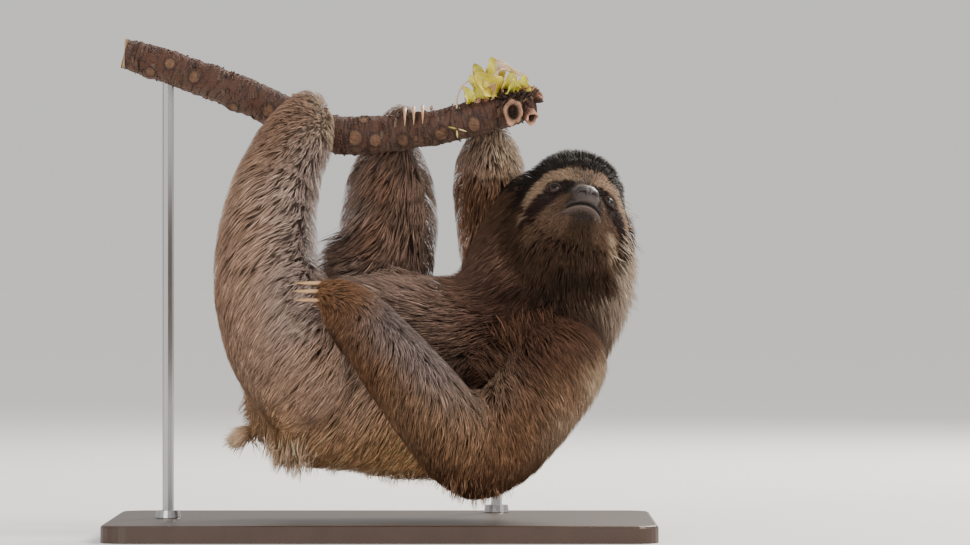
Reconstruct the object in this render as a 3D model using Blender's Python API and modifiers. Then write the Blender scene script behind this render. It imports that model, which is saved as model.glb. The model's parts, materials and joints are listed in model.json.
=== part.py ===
"""Brown-throated three-toed sloth, a life-size display model.

The sloth hangs belly up from a short cut branch, holding it with two hind feet and its right hand, and its left hand
rests on its thigh. Two rods on a flat base carry the branch.

Metres, +Z up. The origin is the middle of the base's underside. The branch runs along X, the head is at +X, and the
sloth's left side faces -Y. Each solid follows the outer surface of the coat.
Run with: blender --background --python part.py
"""

import math

import bmesh
import bpy
import numpy as np
from mathutils import Vector

# ---------------------------------------------------------------- driving sizes
GAP = 0.0003  # clearance between two pieces that touch
BASE_LENGTH, BASE_DEPTH, BASE_THICKNESS = 0.380, 0.260, 0.012
BASE_CORNER, BASE_EDGE = 0.018, 0.002
ROD_RADIUS = 0.004
COLLAR_RADIUS, COLLAR_HEIGHT = 0.009, 0.005
EYE_RADIUS = 0.0048
CLAW_RADIUS = 0.0017
BRANCH_SIDES, CLAW_SIDES = 10, 5
LEAF_THICKNESS = 0.0008

# Fineness of the fused forms: voxel size, smoothing passes and triangles kept.
BODY_VOXEL, BODY_SMOOTHING, BODY_TRIANGLES = 0.0040, 8, 1750
ARM_VOXEL, ARM_SMOOTHING, ARM_TRIANGLES = 0.0035, 5, 460
REGION_VOXEL, REGION_SMOOTHING, REGION_TRIANGLES = 0.0050, 4, 300
TRUNK_MARGIN, NECK_MARGIN, TAIL_MARGIN = 0.005, 0.006, 0.004  # how far each region reaches past its own form

# ---------------------------------------------------------------- body stations
# Torso and neck: x, y, z, half-depth from belly to back, half-width from side to side.
TRUNK = [
    (-0.073, 0.000, 0.099, 0.032, 0.038),  # rump
    (-0.045, 0.000, 0.114, 0.060, 0.057),  # pelvis
    (-0.005, 0.000, 0.111, 0.069, 0.064),  # loin
    (0.040, 0.000, 0.110, 0.071, 0.066),  # belly
    (0.081, 0.000, 0.118, 0.066, 0.063),  # chest
    (0.110, 0.000, 0.138, 0.049, 0.053),  # shoulders
    (0.124, -0.002, 0.156, 0.042, 0.045),  # base of the neck
]
NECK = [
    (0.100, 0.000, 0.140, 0.057, 0.045),
    (0.113, -0.003, 0.172, 0.059, 0.045),
    (0.119, -0.006, 0.198, 0.056, 0.043),
    (0.124, -0.008, 0.220, 0.048, 0.038),
]
RUMP_CENTRE, RUMP_HALF = (-0.042, 0.000, 0.096), (0.050, 0.052, 0.054)  # rounds off the back of the pelvis
# Limbs and tail: x, y, z, radius.
LEG_LEFT = [
    (-0.056, -0.040, 0.118, 0.046),  # hip
    (-0.071, -0.048, 0.147, 0.044),
    (-0.080, -0.050, 0.185, 0.037),  # knee
    (-0.078, -0.042, 0.224, 0.033),
    (-0.069, -0.030, 0.256, 0.029),  # ankle
    (-0.057, -0.024, 0.280, 0.026),  # sole
    (-0.052, -0.012, 0.294, 0.019),  # toes, over the branch
]
LEG_RIGHT = [
    (-0.038, 0.038, 0.136, 0.042),  # hip
    (-0.008, 0.050, 0.171, 0.039),  # knee
    (0.004, 0.048, 0.207, 0.035),
    (0.005, 0.040, 0.235, 0.033),
    (0.005, 0.030, 0.257, 0.028),  # ankle
    (0.006, 0.022, 0.277, 0.018),  # sole
    (0.011, 0.017, 0.290, 0.013),
    (0.015, 0.006, 0.296, 0.009),  # toes, over the branch
]
ARM_RIGHT = [
    (0.100, 0.040, 0.143, 0.037),  # shoulder
    (0.086, 0.052, 0.178, 0.030),  # elbow
    (0.077, 0.048, 0.214, 0.026),
    (0.075, 0.038, 0.246, 0.027),
    (0.075, 0.028, 0.267, 0.023),  # wrist
    (0.074, 0.021, 0.284, 0.014),  # palm
    (0.072, 0.015, 0.297, 0.010),  # fingers, behind the branch
]
ARM_LEFT = [
    (0.117, -0.040, 0.118, 0.040),  # shoulder
    (0.099, -0.054, 0.092, 0.036),
    (0.077, -0.066, 0.068, 0.034),
    (0.059, -0.076, 0.062, 0.030),  # elbow
    (0.031, -0.088, 0.096, 0.029),
    (0.003, -0.094, 0.131, 0.025),
    (-0.017, -0.098, 0.153, 0.022),  # wrist
    (-0.029, -0.100, 0.165, 0.017),  # hand
    (-0.038, -0.101, 0.170, 0.011),  # fingers
]
TAIL = [
    (-0.073, 0.002, 0.091, 0.017),
    (-0.088, 0.002, 0.079, 0.011),
    (-0.098, 0.002, 0.071, 0.006),
]
BRANCH = [
    (-0.180, 0.000, 0.337, 0.0105),
    (-0.149, 0.000, 0.327, 0.0112),
    (-0.117, 0.000, 0.316, 0.0119),
    (-0.084, 0.000, 0.302, 0.0123),
    (-0.058, 0.000, 0.290, 0.0126),
    (-0.030, 0.000, 0.280, 0.0129),
    (0.005, 0.000, 0.281, 0.0126),
    (0.040, 0.000, 0.286, 0.0119),
    (0.068, 0.002, 0.293, 0.0126),
    (0.089, 0.006, 0.299, 0.0126),
    (0.105, 0.010, 0.303, 0.0105),
]

# ---------------------------------------------------------------- head
HEAD_CENTRE = np.array((0.1310, -0.0220, 0.2201))
HEAD_YAW, HEAD_PITCH, HEAD_ROLL = (math.radians(a) for a in (20.0, 30.0, 16.0))
HEAD_BLEND = 0.0040  # how softly the masses of the head run together
HEAD_SEGMENTS, HEAD_RINGS, RINGS_FORWARD = 24, 16, 1.25
# Masses of the coated head, as ellipsoids: place and half-size along side, up and forward.
HEAD_MASSES = {
    "cranium": ((0.000, 0.004, -0.008), (0.041, 0.041, 0.035)),
    "crown_hair": ((0.003, 0.0295, 0.000), (0.031, 0.0235, 0.028)),
    "cheek_left": ((0.021, -0.010, 0.000), (0.022, 0.024, 0.025)),
    "cheek_right": ((-0.021, -0.010, 0.000), (0.022, 0.024, 0.025)),
    "throat_ruff": ((0.000, -0.026, -0.002), (0.032, 0.022, 0.029)),
    "brow": ((0.000, 0.014, 0.017), (0.024, 0.010, 0.011)),
    "muzzle": ((0.000, -0.006, 0.024), (0.0145, 0.0125, 0.0190)),
    "chin": ((0.000, -0.0185, 0.019), (0.0140, 0.0090, 0.0150)),
}
EYE_PLACE = (0.0192, 0.0056, 0.0235)  # side, up and forward of the head's centre
NOSE_PLACE, NOSE_HALF = (0.000, -0.0022, 0.0392), (0.0080, 0.0060, 0.0050)
MOUTH_TURN, MOUTH_SLOPE, MOUTH_GROOVE = 27, -0.33, 0.0011  # degrees to each corner, rise per unit forward, depth

# ---------------------------------------------------------------- claws
# Hooked claws: limb, x of the middle claw, first and last angle round the branch (0 behind it, 90 above, 180 in front).
CLAW_SPACING = 0.0062
CLAW_CLEARANCE = 0.0014  # the branch slopes, so a claw needs more than the plain gap
HOOKED = {
    "foot_left": (-0.056, 92, -55),
    "foot_right": (0.022, 78, 168),
    "hand_right": (0.065, 66, 135),
}
FREE_CLAW_ROOTS = [(-0.040, -0.104, 0.1765), (-0.041, -0.106, 0.1710), (-0.040, -0.105, 0.1650)]
FREE_CLAW_RADIUS, FREE_CLAW_SWEEP = 0.022, 60

# ---------------------------------------------------------------- stand
LEFT_ROD = (-0.150, 0.0)
RIGHT_ROD = (0.080, 0.096)
RIGHT_ROD_END = (0.097, 0.017, 0.301)
RIGHT_ROD_BEND = 0.020

# ---------------------------------------------------------------- leaves
# Root x, angle round the branch, tip x, y, z, width, and turn of the blade about its length from facing -Y.
LEAVES = [
    (0.0830, 90, 0.0760, 0.004, 0.3335, 0.0100, 15),
    (0.0810, 124, 0.0670, -0.011, 0.3240, 0.0120, -25),
    (0.0800, 66, 0.0675, 0.010, 0.3290, 0.0060, 30),
    (0.0945, 106, 0.1000, -0.006, 0.3215, 0.0100, -20),
    (0.1010, 84, 0.0865, 0.006, 0.3285, 0.0090, 50),
]

COLOURS = {
    "coat": (0.20, 0.13, 0.085),
    "throat": (0.075, 0.048, 0.034),
    "nose": (0.05, 0.042, 0.04),
    "eye": (0.02, 0.011, 0.008),
    "claw": (0.50, 0.40, 0.27),
    "bark": (0.14, 0.085, 0.058),
    "leaf": (0.46, 0.43, 0.10),
    "stand_wood": (0.060, 0.038, 0.026),
    "stand_steel": (0.35, 0.34, 0.33),
}
ROUGHNESS = {"nose": 0.45, "eye": 0.08, "claw": 0.40, "leaf": 0.55, "stand_wood": 0.45, "stand_steel": 0.35}


# ---------------------------------------------------------------- helpers
def clear_scene():
    for obj in list(bpy.data.objects):
        bpy.data.objects.remove(obj)


def material(name):
    """A Principled material of that name, made once."""
    found = bpy.data.materials.get(name)
    if found:
        return found
    made = bpy.data.materials.new(name)
    made.use_nodes = True
    shader = made.node_tree.nodes["Principled BSDF"]
    shader.inputs["Base Color"].default_value = (*COLOURS[name], 1.0)
    shader.inputs["Roughness"].default_value = ROUGHNESS.get(name, 0.9)
    shader.inputs["Metallic"].default_value = 1.0 if name == "stand_steel" else 0.0
    return made


def mesh_object(name, mesh):
    """A new object among the forms and cutters. finish() moves it to the display."""
    obj = bpy.data.objects.new(name, mesh)
    bpy.data.collections["forms_and_cutters"].objects.link(obj)
    return obj


def object_from(name, points, faces):
    mesh = bpy.data.meshes.new(name)
    mesh.from_pydata([tuple(p) for p in points], [], faces)
    return mesh_object(name, mesh)


def bake_modifiers(obj):
    """Replaces an object's mesh by the one that its modifiers make."""
    graph = bpy.context.evaluated_depsgraph_get()
    made = bpy.data.meshes.new_from_object(obj.evaluated_get(graph))
    obj.modifiers.clear()
    obj.data = made
    return obj


def boolean(target, operation, cutter):
    modifier = target.modifiers.new(operation, "BOOLEAN")
    modifier.operation = operation
    modifier.solver = "MANIFOLD"  # EXACT leaves open edges where these soft forms graze each other
    modifier.object = cutter
    return bake_modifiers(target)


def copy_of(obj, name, grown=0.0, kept=1.0):
    """A copy with a share of the triangles kept, whose surface is moved out along its normals."""
    made = mesh_object(name, obj.data.copy())
    if kept < 1.0:
        thin = made.modifiers.new("thin", "DECIMATE")
        thin.ratio = kept
    if grown:
        offset = made.modifiers.new("grow", "DISPLACE")
        offset.strength, offset.mid_level = grown, 0.0
        bake_modifiers(made)
    return made


def discard(*objects):
    for obj in objects:
        bpy.data.objects.remove(obj)


def loose_pieces(obj):
    """The separate bodies of a mesh, each as (volume, bmesh), largest first."""
    source = bmesh.new()
    source.from_mesh(obj.data)
    unseen, found = set(source.verts), []
    while unseen:
        todo, island = [unseen.pop()], set()
        while todo:
            vertex = todo.pop()
            island.add(vertex)
            linked = {edge.other_vert(vertex) for edge in vertex.link_edges} & unseen
            unseen -= linked
            todo.extend(linked)
        index = {vertex: n for n, vertex in enumerate(island)}
        piece = bmesh.new()
        made = [piece.verts.new(vertex.co) for vertex in island]
        for face in source.faces:
            if face.verts[0] in index:
                piece.faces.new([made[index[v]] for v in face.verts])
        found.append((piece.calc_volume(), piece))
    source.free()
    return sorted(found, key=lambda pair: -pair[0])


def keep_largest(obj):
    """Drops the crumbs that a cut leaves beside the main body."""
    pieces = loose_pieces(obj)
    pieces[0][1].to_mesh(obj.data)
    for _, piece in pieces:
        piece.free()
    return obj


def finish(obj, name, material_name):
    """Names a piece, gives it its material, shades it smooth and adds it to the display."""
    obj.name = obj.data.name = name
    bpy.data.collections["forms_and_cutters"].objects.unlink(obj)
    bpy.data.collections["sloth_display"].objects.link(obj)
    obj.data.materials.clear()
    obj.data.materials.append(material(material_name))
    obj.data.shade_smooth()
    obj.data.set_sharp_from_angle(angle=math.radians(40))
    return obj


# ---------------------------------------------------------------- tubes through stations
def smooth_path(stations, steps):
    """Catmull-Rom curve through the stations, every column at once."""
    rows = np.array(stations, float)
    padded = np.vstack([2 * rows[0] - rows[1], rows, 2 * rows[-1] - rows[-2]])
    found = []
    for before, start, end, after in zip(padded, padded[1:], padded[2:], padded[3:]):
        for t in np.linspace(0, 1, steps, endpoint=False):
            found.append(
                0.5
                * (
                    2 * start
                    + (end - before) * t
                    + (2 * before - 5 * start + 4 * end - after) * t**2
                    + (3 * start - before - 3 * end + after) * t**3
                )
            )
    return np.array(found + [rows[-1]])


def unit(vectors):
    return vectors / np.linalg.norm(vectors, axis=-1, keepdims=True)


def tube(name, stations, sides, steps, domed=True, grown=0.0, width_axis=(0.0, 1.0, 0.0)):
    """A closed tube of elliptical rings. Columns: x, y, z, half-depth and, where it differs, half-width.

    The width is measured square to the path, as near to width_axis as it can be.
    """
    path = smooth_path(stations, steps)
    centres, deep = path[:, :3], path[:, 3] + grown
    wide = path[:, 4] + grown if path.shape[1] > 4 else deep
    along = unit(np.gradient(centres, axis=0))
    axis = np.array(width_axis, float)
    side = unit(axis - along * (along @ axis)[:, None])
    outward = np.cross(along, side)
    rings = [(centres[i], along[i], side[i], outward[i], deep[i], wide[i], 0.0, 1.0) for i in range(len(path))]
    if domed:
        lifts = [math.radians(a) for a in (35, 65)]
        first, last = rings[0][:6], rings[-1][:6]
        rings = [(*first, -math.sin(a), math.cos(a)) for a in reversed(lifts)] + rings
        rings += [(*last, math.sin(a), math.cos(a)) for a in lifts]
    points = []
    for centre, forward, sideways, out, half_deep, half_wide, lift, scale in rings:
        middle = centre + forward * lift * min(half_deep, half_wide)
        for n in range(sides):
            angle = 2 * math.pi * n / sides
            points.append(
                middle + scale * (math.cos(angle) * half_deep * out + math.sin(angle) * half_wide * sideways)
            )
    faces = [
        (r * sides + n, r * sides + (n + 1) % sides, (r + 1) * sides + (n + 1) % sides, (r + 1) * sides + n)
        for r in range(len(rings) - 1)
        for n in range(sides)
    ]
    faces.append(tuple(reversed(range(sides))))
    faces.append(tuple(range((len(rings) - 1) * sides, len(rings) * sides)))
    obj = object_from(name, points, faces)
    recalculate_normals(obj)
    return obj


def recalculate_normals(obj):
    mesh = bmesh.new()
    mesh.from_mesh(obj.data)
    bmesh.ops.recalc_face_normals(mesh, faces=mesh.faces)
    mesh.to_mesh(obj.data)
    mesh.free()


def fused(name, shapes, voxel, smoothing, triangles):
    """One soft body from overlapping closed shapes: joined, remeshed, smoothed and thinned."""
    merged = bmesh.new()
    for shape in shapes:
        merged.from_mesh(shape.data)
    mesh = bpy.data.meshes.new(name)
    merged.to_mesh(mesh)
    merged.free()
    discard(*shapes)
    body = mesh_object(name, mesh)
    remesh = body.modifiers.new("fuse", "REMESH")
    remesh.mode, remesh.voxel_size = "VOXEL", voxel
    soften = body.modifiers.new("soften", "SMOOTH")
    soften.factor, soften.iterations = 0.5, smoothing
    bake_modifiers(body)
    body.data.calc_loop_triangles()
    thin = body.modifiers.new("thin", "DECIMATE")
    thin.ratio = triangles / len(body.data.loop_triangles)
    return bake_modifiers(body)


# ---------------------------------------------------------------- head
def head_axes():
    """Unit vectors to the head's left, up and forward, from its yaw, pitch and roll."""
    yaw, pitch = HEAD_YAW, HEAD_PITCH
    forward = np.array(
        (math.sin(yaw) * math.cos(pitch), -math.cos(yaw) * math.cos(pitch), math.sin(pitch))
    )
    level = np.array((math.cos(yaw), math.sin(yaw), 0.0))
    upright = np.cross(forward, level)
    left = math.cos(HEAD_ROLL) * level - math.sin(HEAD_ROLL) * upright
    return left, np.cross(forward, left), forward


HEAD_AXES = np.array(head_axes())


def on_head(place):
    """World position of a place given as side, up and forward."""
    return HEAD_CENTRE + np.asarray(place, float) @ HEAD_AXES


def ellipsoid_distance(points, centre, half):
    """Signed distance to an ellipsoid, close to exact near its surface."""
    scaled = (points - np.array(centre)) / np.array(half)
    near = np.linalg.norm(scaled, axis=-1)
    slope = np.linalg.norm(scaled / np.array(half), axis=-1)
    return near * (near - 1) / np.maximum(slope, 1e-9)


def head_distance(points):
    """Soft minimum of the distances to all the head's masses."""
    each = np.stack([ellipsoid_distance(points, *mass) for mass in HEAD_MASSES.values()])
    return -HEAD_BLEND * np.log(np.exp(-each / HEAD_BLEND).sum(axis=0))


def head_radius(directions):
    """How far the head's surface lies from its centre, by halving the interval in each direction."""
    low, high = np.zeros(len(directions)), np.full(len(directions), 0.080)
    for _ in range(24):
        middle = (low + high) / 2
        inside = head_distance(directions * middle[:, None]) < 0
        low, high = np.where(inside, middle, low), np.where(inside, high, middle)
    return (low + high) / 2


def head_solid():
    """A sphere with its pole at the face and its rings drawn forward, pushed out to the head's surface."""
    mesh = bmesh.new()
    bmesh.ops.create_uvsphere(mesh, u_segments=HEAD_SEGMENTS, v_segments=HEAD_RINGS, radius=1.0)
    local = np.array([vertex.co for vertex in mesh.verts])
    polar = np.arccos(np.clip(local[:, 2], -1, 1)) / math.pi
    bent = math.pi * polar**RINGS_FORWARD
    round_axis = np.arctan2(local[:, 1], local[:, 0])
    directions = np.column_stack(
        [np.sin(bent) * np.cos(round_axis), np.sin(bent) * np.sin(round_axis), np.cos(bent)]
    )
    places = on_head(directions * head_radius(directions)[:, None])
    for vertex, place in zip(mesh.verts, places):
        vertex.co = place
    data = bpy.data.meshes.new("head")
    mesh.to_mesh(data)
    mesh.free()
    obj = mesh_object("head", data)
    recalculate_normals(obj)
    return obj


def ball(name, centre, half, axes=np.eye(3), segments=10, rings=7):
    """An ellipsoid from a sphere primitive, turned to the given axes."""
    mesh = bmesh.new()
    bmesh.ops.create_uvsphere(mesh, u_segments=segments, v_segments=rings, radius=1.0)
    for vertex in mesh.verts:
        vertex.co = Vector(np.asarray(centre) + (np.array(vertex.co) * np.asarray(half)) @ axes)
    data = bpy.data.meshes.new(name)
    mesh.to_mesh(data)
    mesh.free()
    return mesh_object(name, data)


def mouth_cutter():
    """A thin bent rod laid along the lips, to press the mouth line into the muzzle."""
    angles = np.radians(np.linspace(-MOUTH_TURN, MOUTH_TURN, 7))
    directions = unit(np.column_stack([np.sin(angles), np.full(7, MOUTH_SLOPE), np.cos(angles)]))
    points = on_head(directions * head_radius(directions)[:, None])
    stations = [(*point, MOUTH_GROOVE) for point in points]
    return tube("mouth_cutter", stations, sides=5, steps=1, domed=False, width_axis=HEAD_AXES[1])


# ---------------------------------------------------------------- claws, leaves and branch
def branch_at(x):
    """Centre and radius of the branch at that x, read off its stations."""
    table = np.array(BRANCH)
    y, z, radius = (float(np.interp(x, table[:, 0], table[:, column])) for column in (1, 2, 3))
    return np.array((x, y, z)), radius


def claw(name, path, root_radius, width_axis):
    """A tapering tube that ends in a blunt point."""
    taper = [root_radius * (1.0 - 0.80 * t**1.6) for t in np.linspace(0, 1, len(path))]
    stations = [(*point, radius) for point, radius in zip(path, taper)]
    return tube(name, stations, CLAW_SIDES, steps=1, domed=False, width_axis=width_axis)


def hooked_claws(limb):
    """Three claws of a hand or foot, each an arc round the branch."""
    middle_x, first, last = HOOKED[limb]
    made = []
    for order in (-1, 0, 1):
        x = middle_x + order * CLAW_SPACING
        centre, radius = branch_at(x)
        reach = radius + CLAW_CLEARANCE + CLAW_RADIUS
        path = [
            centre + reach * np.array((0.0, math.cos(math.radians(a)), math.sin(math.radians(a))))
            for a in np.linspace(first, last, 9)
        ]
        made.append(claw(f"claw_{limb}_{order + 2}", path, CLAW_RADIUS, (1.0, 0.0, 0.0)))
    return made


def free_claws():
    """Three claws of the resting hand, which curve in towards the thigh."""
    made = []
    for number, root in enumerate(FREE_CLAW_ROOTS, 1):
        angles = [math.radians(a) for a in np.linspace(0, FREE_CLAW_SWEEP, 8)]
        path = [
            np.array(root) + FREE_CLAW_RADIUS * np.array((-math.sin(a), 1 - math.cos(a), 0.0))
            for a in angles
        ]
        made.append(claw(f"claw_hand_left_{number}", path, CLAW_RADIUS, (0.0, 0.0, 1.0)))
    return made


def leaf(number, x, angle, tip_x, tip_y, tip_z, width, turn):
    """A pointed blade that arches from the branch to its tip, closed and of even thickness."""
    centre, radius = branch_at(x)
    out = np.array((0.0, math.cos(math.radians(angle)), math.sin(math.radians(angle))))
    root = centre + out * (radius - 0.0008)
    reach = np.array((tip_x, tip_y, tip_z)) - root
    flat = unit(np.cross(reach, np.array((0.0, 1.0, 0.0))))
    deep = unit(np.cross(flat, reach))
    across = flat * math.cos(math.radians(turn)) + deep * math.sin(math.radians(turn))
    normal = unit(np.cross(across, reach))
    normal = normal if normal[1] < 0 else -normal
    rows, points, faces = 7, [], []
    for row, t in enumerate(np.linspace(0, 1, rows)):
        half = 0.0008 + 0.5 * width * math.sin(math.pi * t) ** 0.8
        spine = root + reach * t + normal * 0.16 * np.linalg.norm(reach) * math.sin(math.pi * t)
        for side in (-1, 0, 1):
            points.append(spine + across * half * side + normal * 0.15 * half * abs(side))
        if row:
            a = 3 * (row - 1)
            faces += [(a, a + 1, a + 4, a + 3), (a + 1, a + 2, a + 5, a + 4)]
    obj = object_from(f"leaf_{number}", points, faces)
    wall = obj.modifiers.new("wall", "SOLIDIFY")
    wall.thickness, wall.offset = LEAF_THICKNESS, 1.0
    return bake_modifiers(obj)


# ---------------------------------------------------------------- stand
def base_plate():
    """A flat plate with rounded corners and a broken top edge."""
    mesh = bmesh.new()
    bmesh.ops.create_cube(mesh, size=1.0)
    for vertex in mesh.verts:
        vertex.co = Vector(
            (
                vertex.co.x * BASE_LENGTH,
                vertex.co.y * BASE_DEPTH,
                (vertex.co.z + 0.5) * BASE_THICKNESS,
            )
        )
    upright = [e for e in mesh.edges if abs(e.verts[0].co.z - e.verts[1].co.z) > BASE_THICKNESS / 2]
    bmesh.ops.bevel(mesh, geom=upright, offset=BASE_CORNER, segments=6, affect="EDGES", profile=0.5)
    rim = [e for e in mesh.edges if min(v.co.z for v in e.verts) > BASE_THICKNESS * 0.99]
    bmesh.ops.bevel(mesh, geom=rim, offset=BASE_EDGE, segments=2, affect="EDGES", profile=0.5)
    data = bpy.data.meshes.new("stand_base")
    mesh.to_mesh(data)
    mesh.free()
    return mesh_object("stand_base", data)


def rod(name, path):
    """A round rod along a path, with a low collar where it meets the base."""
    curve = bpy.data.curves.new(name, "CURVE")
    curve.dimensions = "3D"
    curve.bevel_depth = ROD_RADIUS
    curve.bevel_resolution = 2
    curve.use_fill_caps = True
    spline = curve.splines.new("POLY")
    spline.points.add(len(path) - 1)
    for point, place in zip(spline.points, path):
        point.co = (*place, 1.0)
    line = mesh_object(name, curve)
    data = bpy.data.meshes.new_from_object(line.evaluated_get(bpy.context.evaluated_depsgraph_get()))
    discard(line)
    bar = mesh_object(name, data)
    welded = bmesh.new()
    welded.from_mesh(data)
    bmesh.ops.remove_doubles(welded, verts=welded.verts, dist=0.00001)
    bmesh.ops.recalc_face_normals(welded, faces=welded.faces)
    welded.to_mesh(data)
    welded.free()
    ring = bmesh.new()
    bmesh.ops.create_cone(
        ring, cap_ends=True, segments=20, radius1=COLLAR_RADIUS, radius2=COLLAR_RADIUS * 0.9, depth=COLLAR_HEIGHT
    )
    bmesh.ops.translate(ring, vec=Vector(path[0]) + Vector((0, 0, COLLAR_HEIGHT / 2)), verts=ring.verts)
    data = bpy.data.meshes.new("collar")
    ring.to_mesh(data)
    ring.free()
    collar = mesh_object("collar", data)
    boolean(bar, "UNION", collar)
    discard(collar)
    return bar


def left_rod_path():
    x, y = LEFT_ROD
    centre, _ = branch_at(x)
    return [(x, y, BASE_THICKNESS + GAP), (x, y, 0.1), (x, y, float(centre[2]))]


def right_rod_path():
    """Straight up behind the sloth, round a quarter bend, then level to the back of the branch."""
    x, y = RIGHT_ROD
    end = np.array(RIGHT_ROD_END)
    level = unit(np.array((end[0] - x, end[1] - y, 0.0)))
    start = np.array((x, y, end[2] - RIGHT_ROD_BEND))
    bend = [
        start
        + RIGHT_ROD_BEND * ((1 - math.cos(a)) * level + math.sin(a) * np.array((0.0, 0.0, 1.0)))
        for a in np.linspace(0, math.pi / 2, 6)
    ]
    return [(x, y, BASE_THICKNESS + GAP), (x, y, 0.12), *bend, end]


# ---------------------------------------------------------------- putting the sloth together
def piece_near(pieces, seed):
    """The piece with a vertex nearest to a seed point."""
    return min(pieces, key=lambda p: min((v.co - Vector(seed)).length for v in p.data.vertices))


def half_space(point, normal):
    """A large cube on the side that the normal points to, whose face lies half a gap behind the point."""
    size = 0.6
    direction = Vector(normal).normalized()
    mesh = bpy.data.meshes.new("half_space")
    maker = bmesh.new()
    bmesh.ops.create_cube(maker, size=size)
    turn = direction.to_track_quat("Z", "Y").to_matrix().to_4x4()
    bmesh.ops.transform(maker, matrix=turn, verts=maker.verts)
    bmesh.ops.translate(maker, vec=Vector(point) + direction * (size / 2 - GAP / 2), verts=maker.verts)
    maker.to_mesh(mesh)
    maker.free()
    return mesh_object("half_space", mesh)


def split(limb, point, normal):
    """Parts a limb by a plane. Returns the near piece, behind the normal, and the far one."""
    far = copy_of(limb, limb.name + "_far")
    ahead, behind = half_space(point, normal), half_space(point, -np.asarray(normal, float))
    boolean(limb, "DIFFERENCE", ahead)
    boolean(far, "DIFFERENCE", behind)
    discard(ahead, behind)
    return keep_largest(limb), keep_largest(far)


def joint(stations, index):
    """Place of a station and the normal of the plane that halves the bend there."""
    rows = np.array(stations)[:, :3]
    return rows[index], unit(unit(rows[index + 1] - rows[index]) + unit(rows[index] - rows[index - 1]))


def take(body, name, forms):
    """Parts a body by the form that some shapes make together. Returns the piece inside it and the rest."""
    region = fused("region", forms, REGION_VOXEL, REGION_SMOOTHING, REGION_TRIANGLES)
    room = copy_of(region, "room", 2.5 * GAP)
    piece = copy_of(body, name)
    boolean(piece, "INTERSECT", region)
    boolean(body, "DIFFERENCE", room)
    discard(region, room)
    return keep_largest(piece), body


def carve(target, cutters):
    for cutter in cutters:
        boolean(target, "DIFFERENCE", cutter)
    return keep_largest(target)


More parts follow.
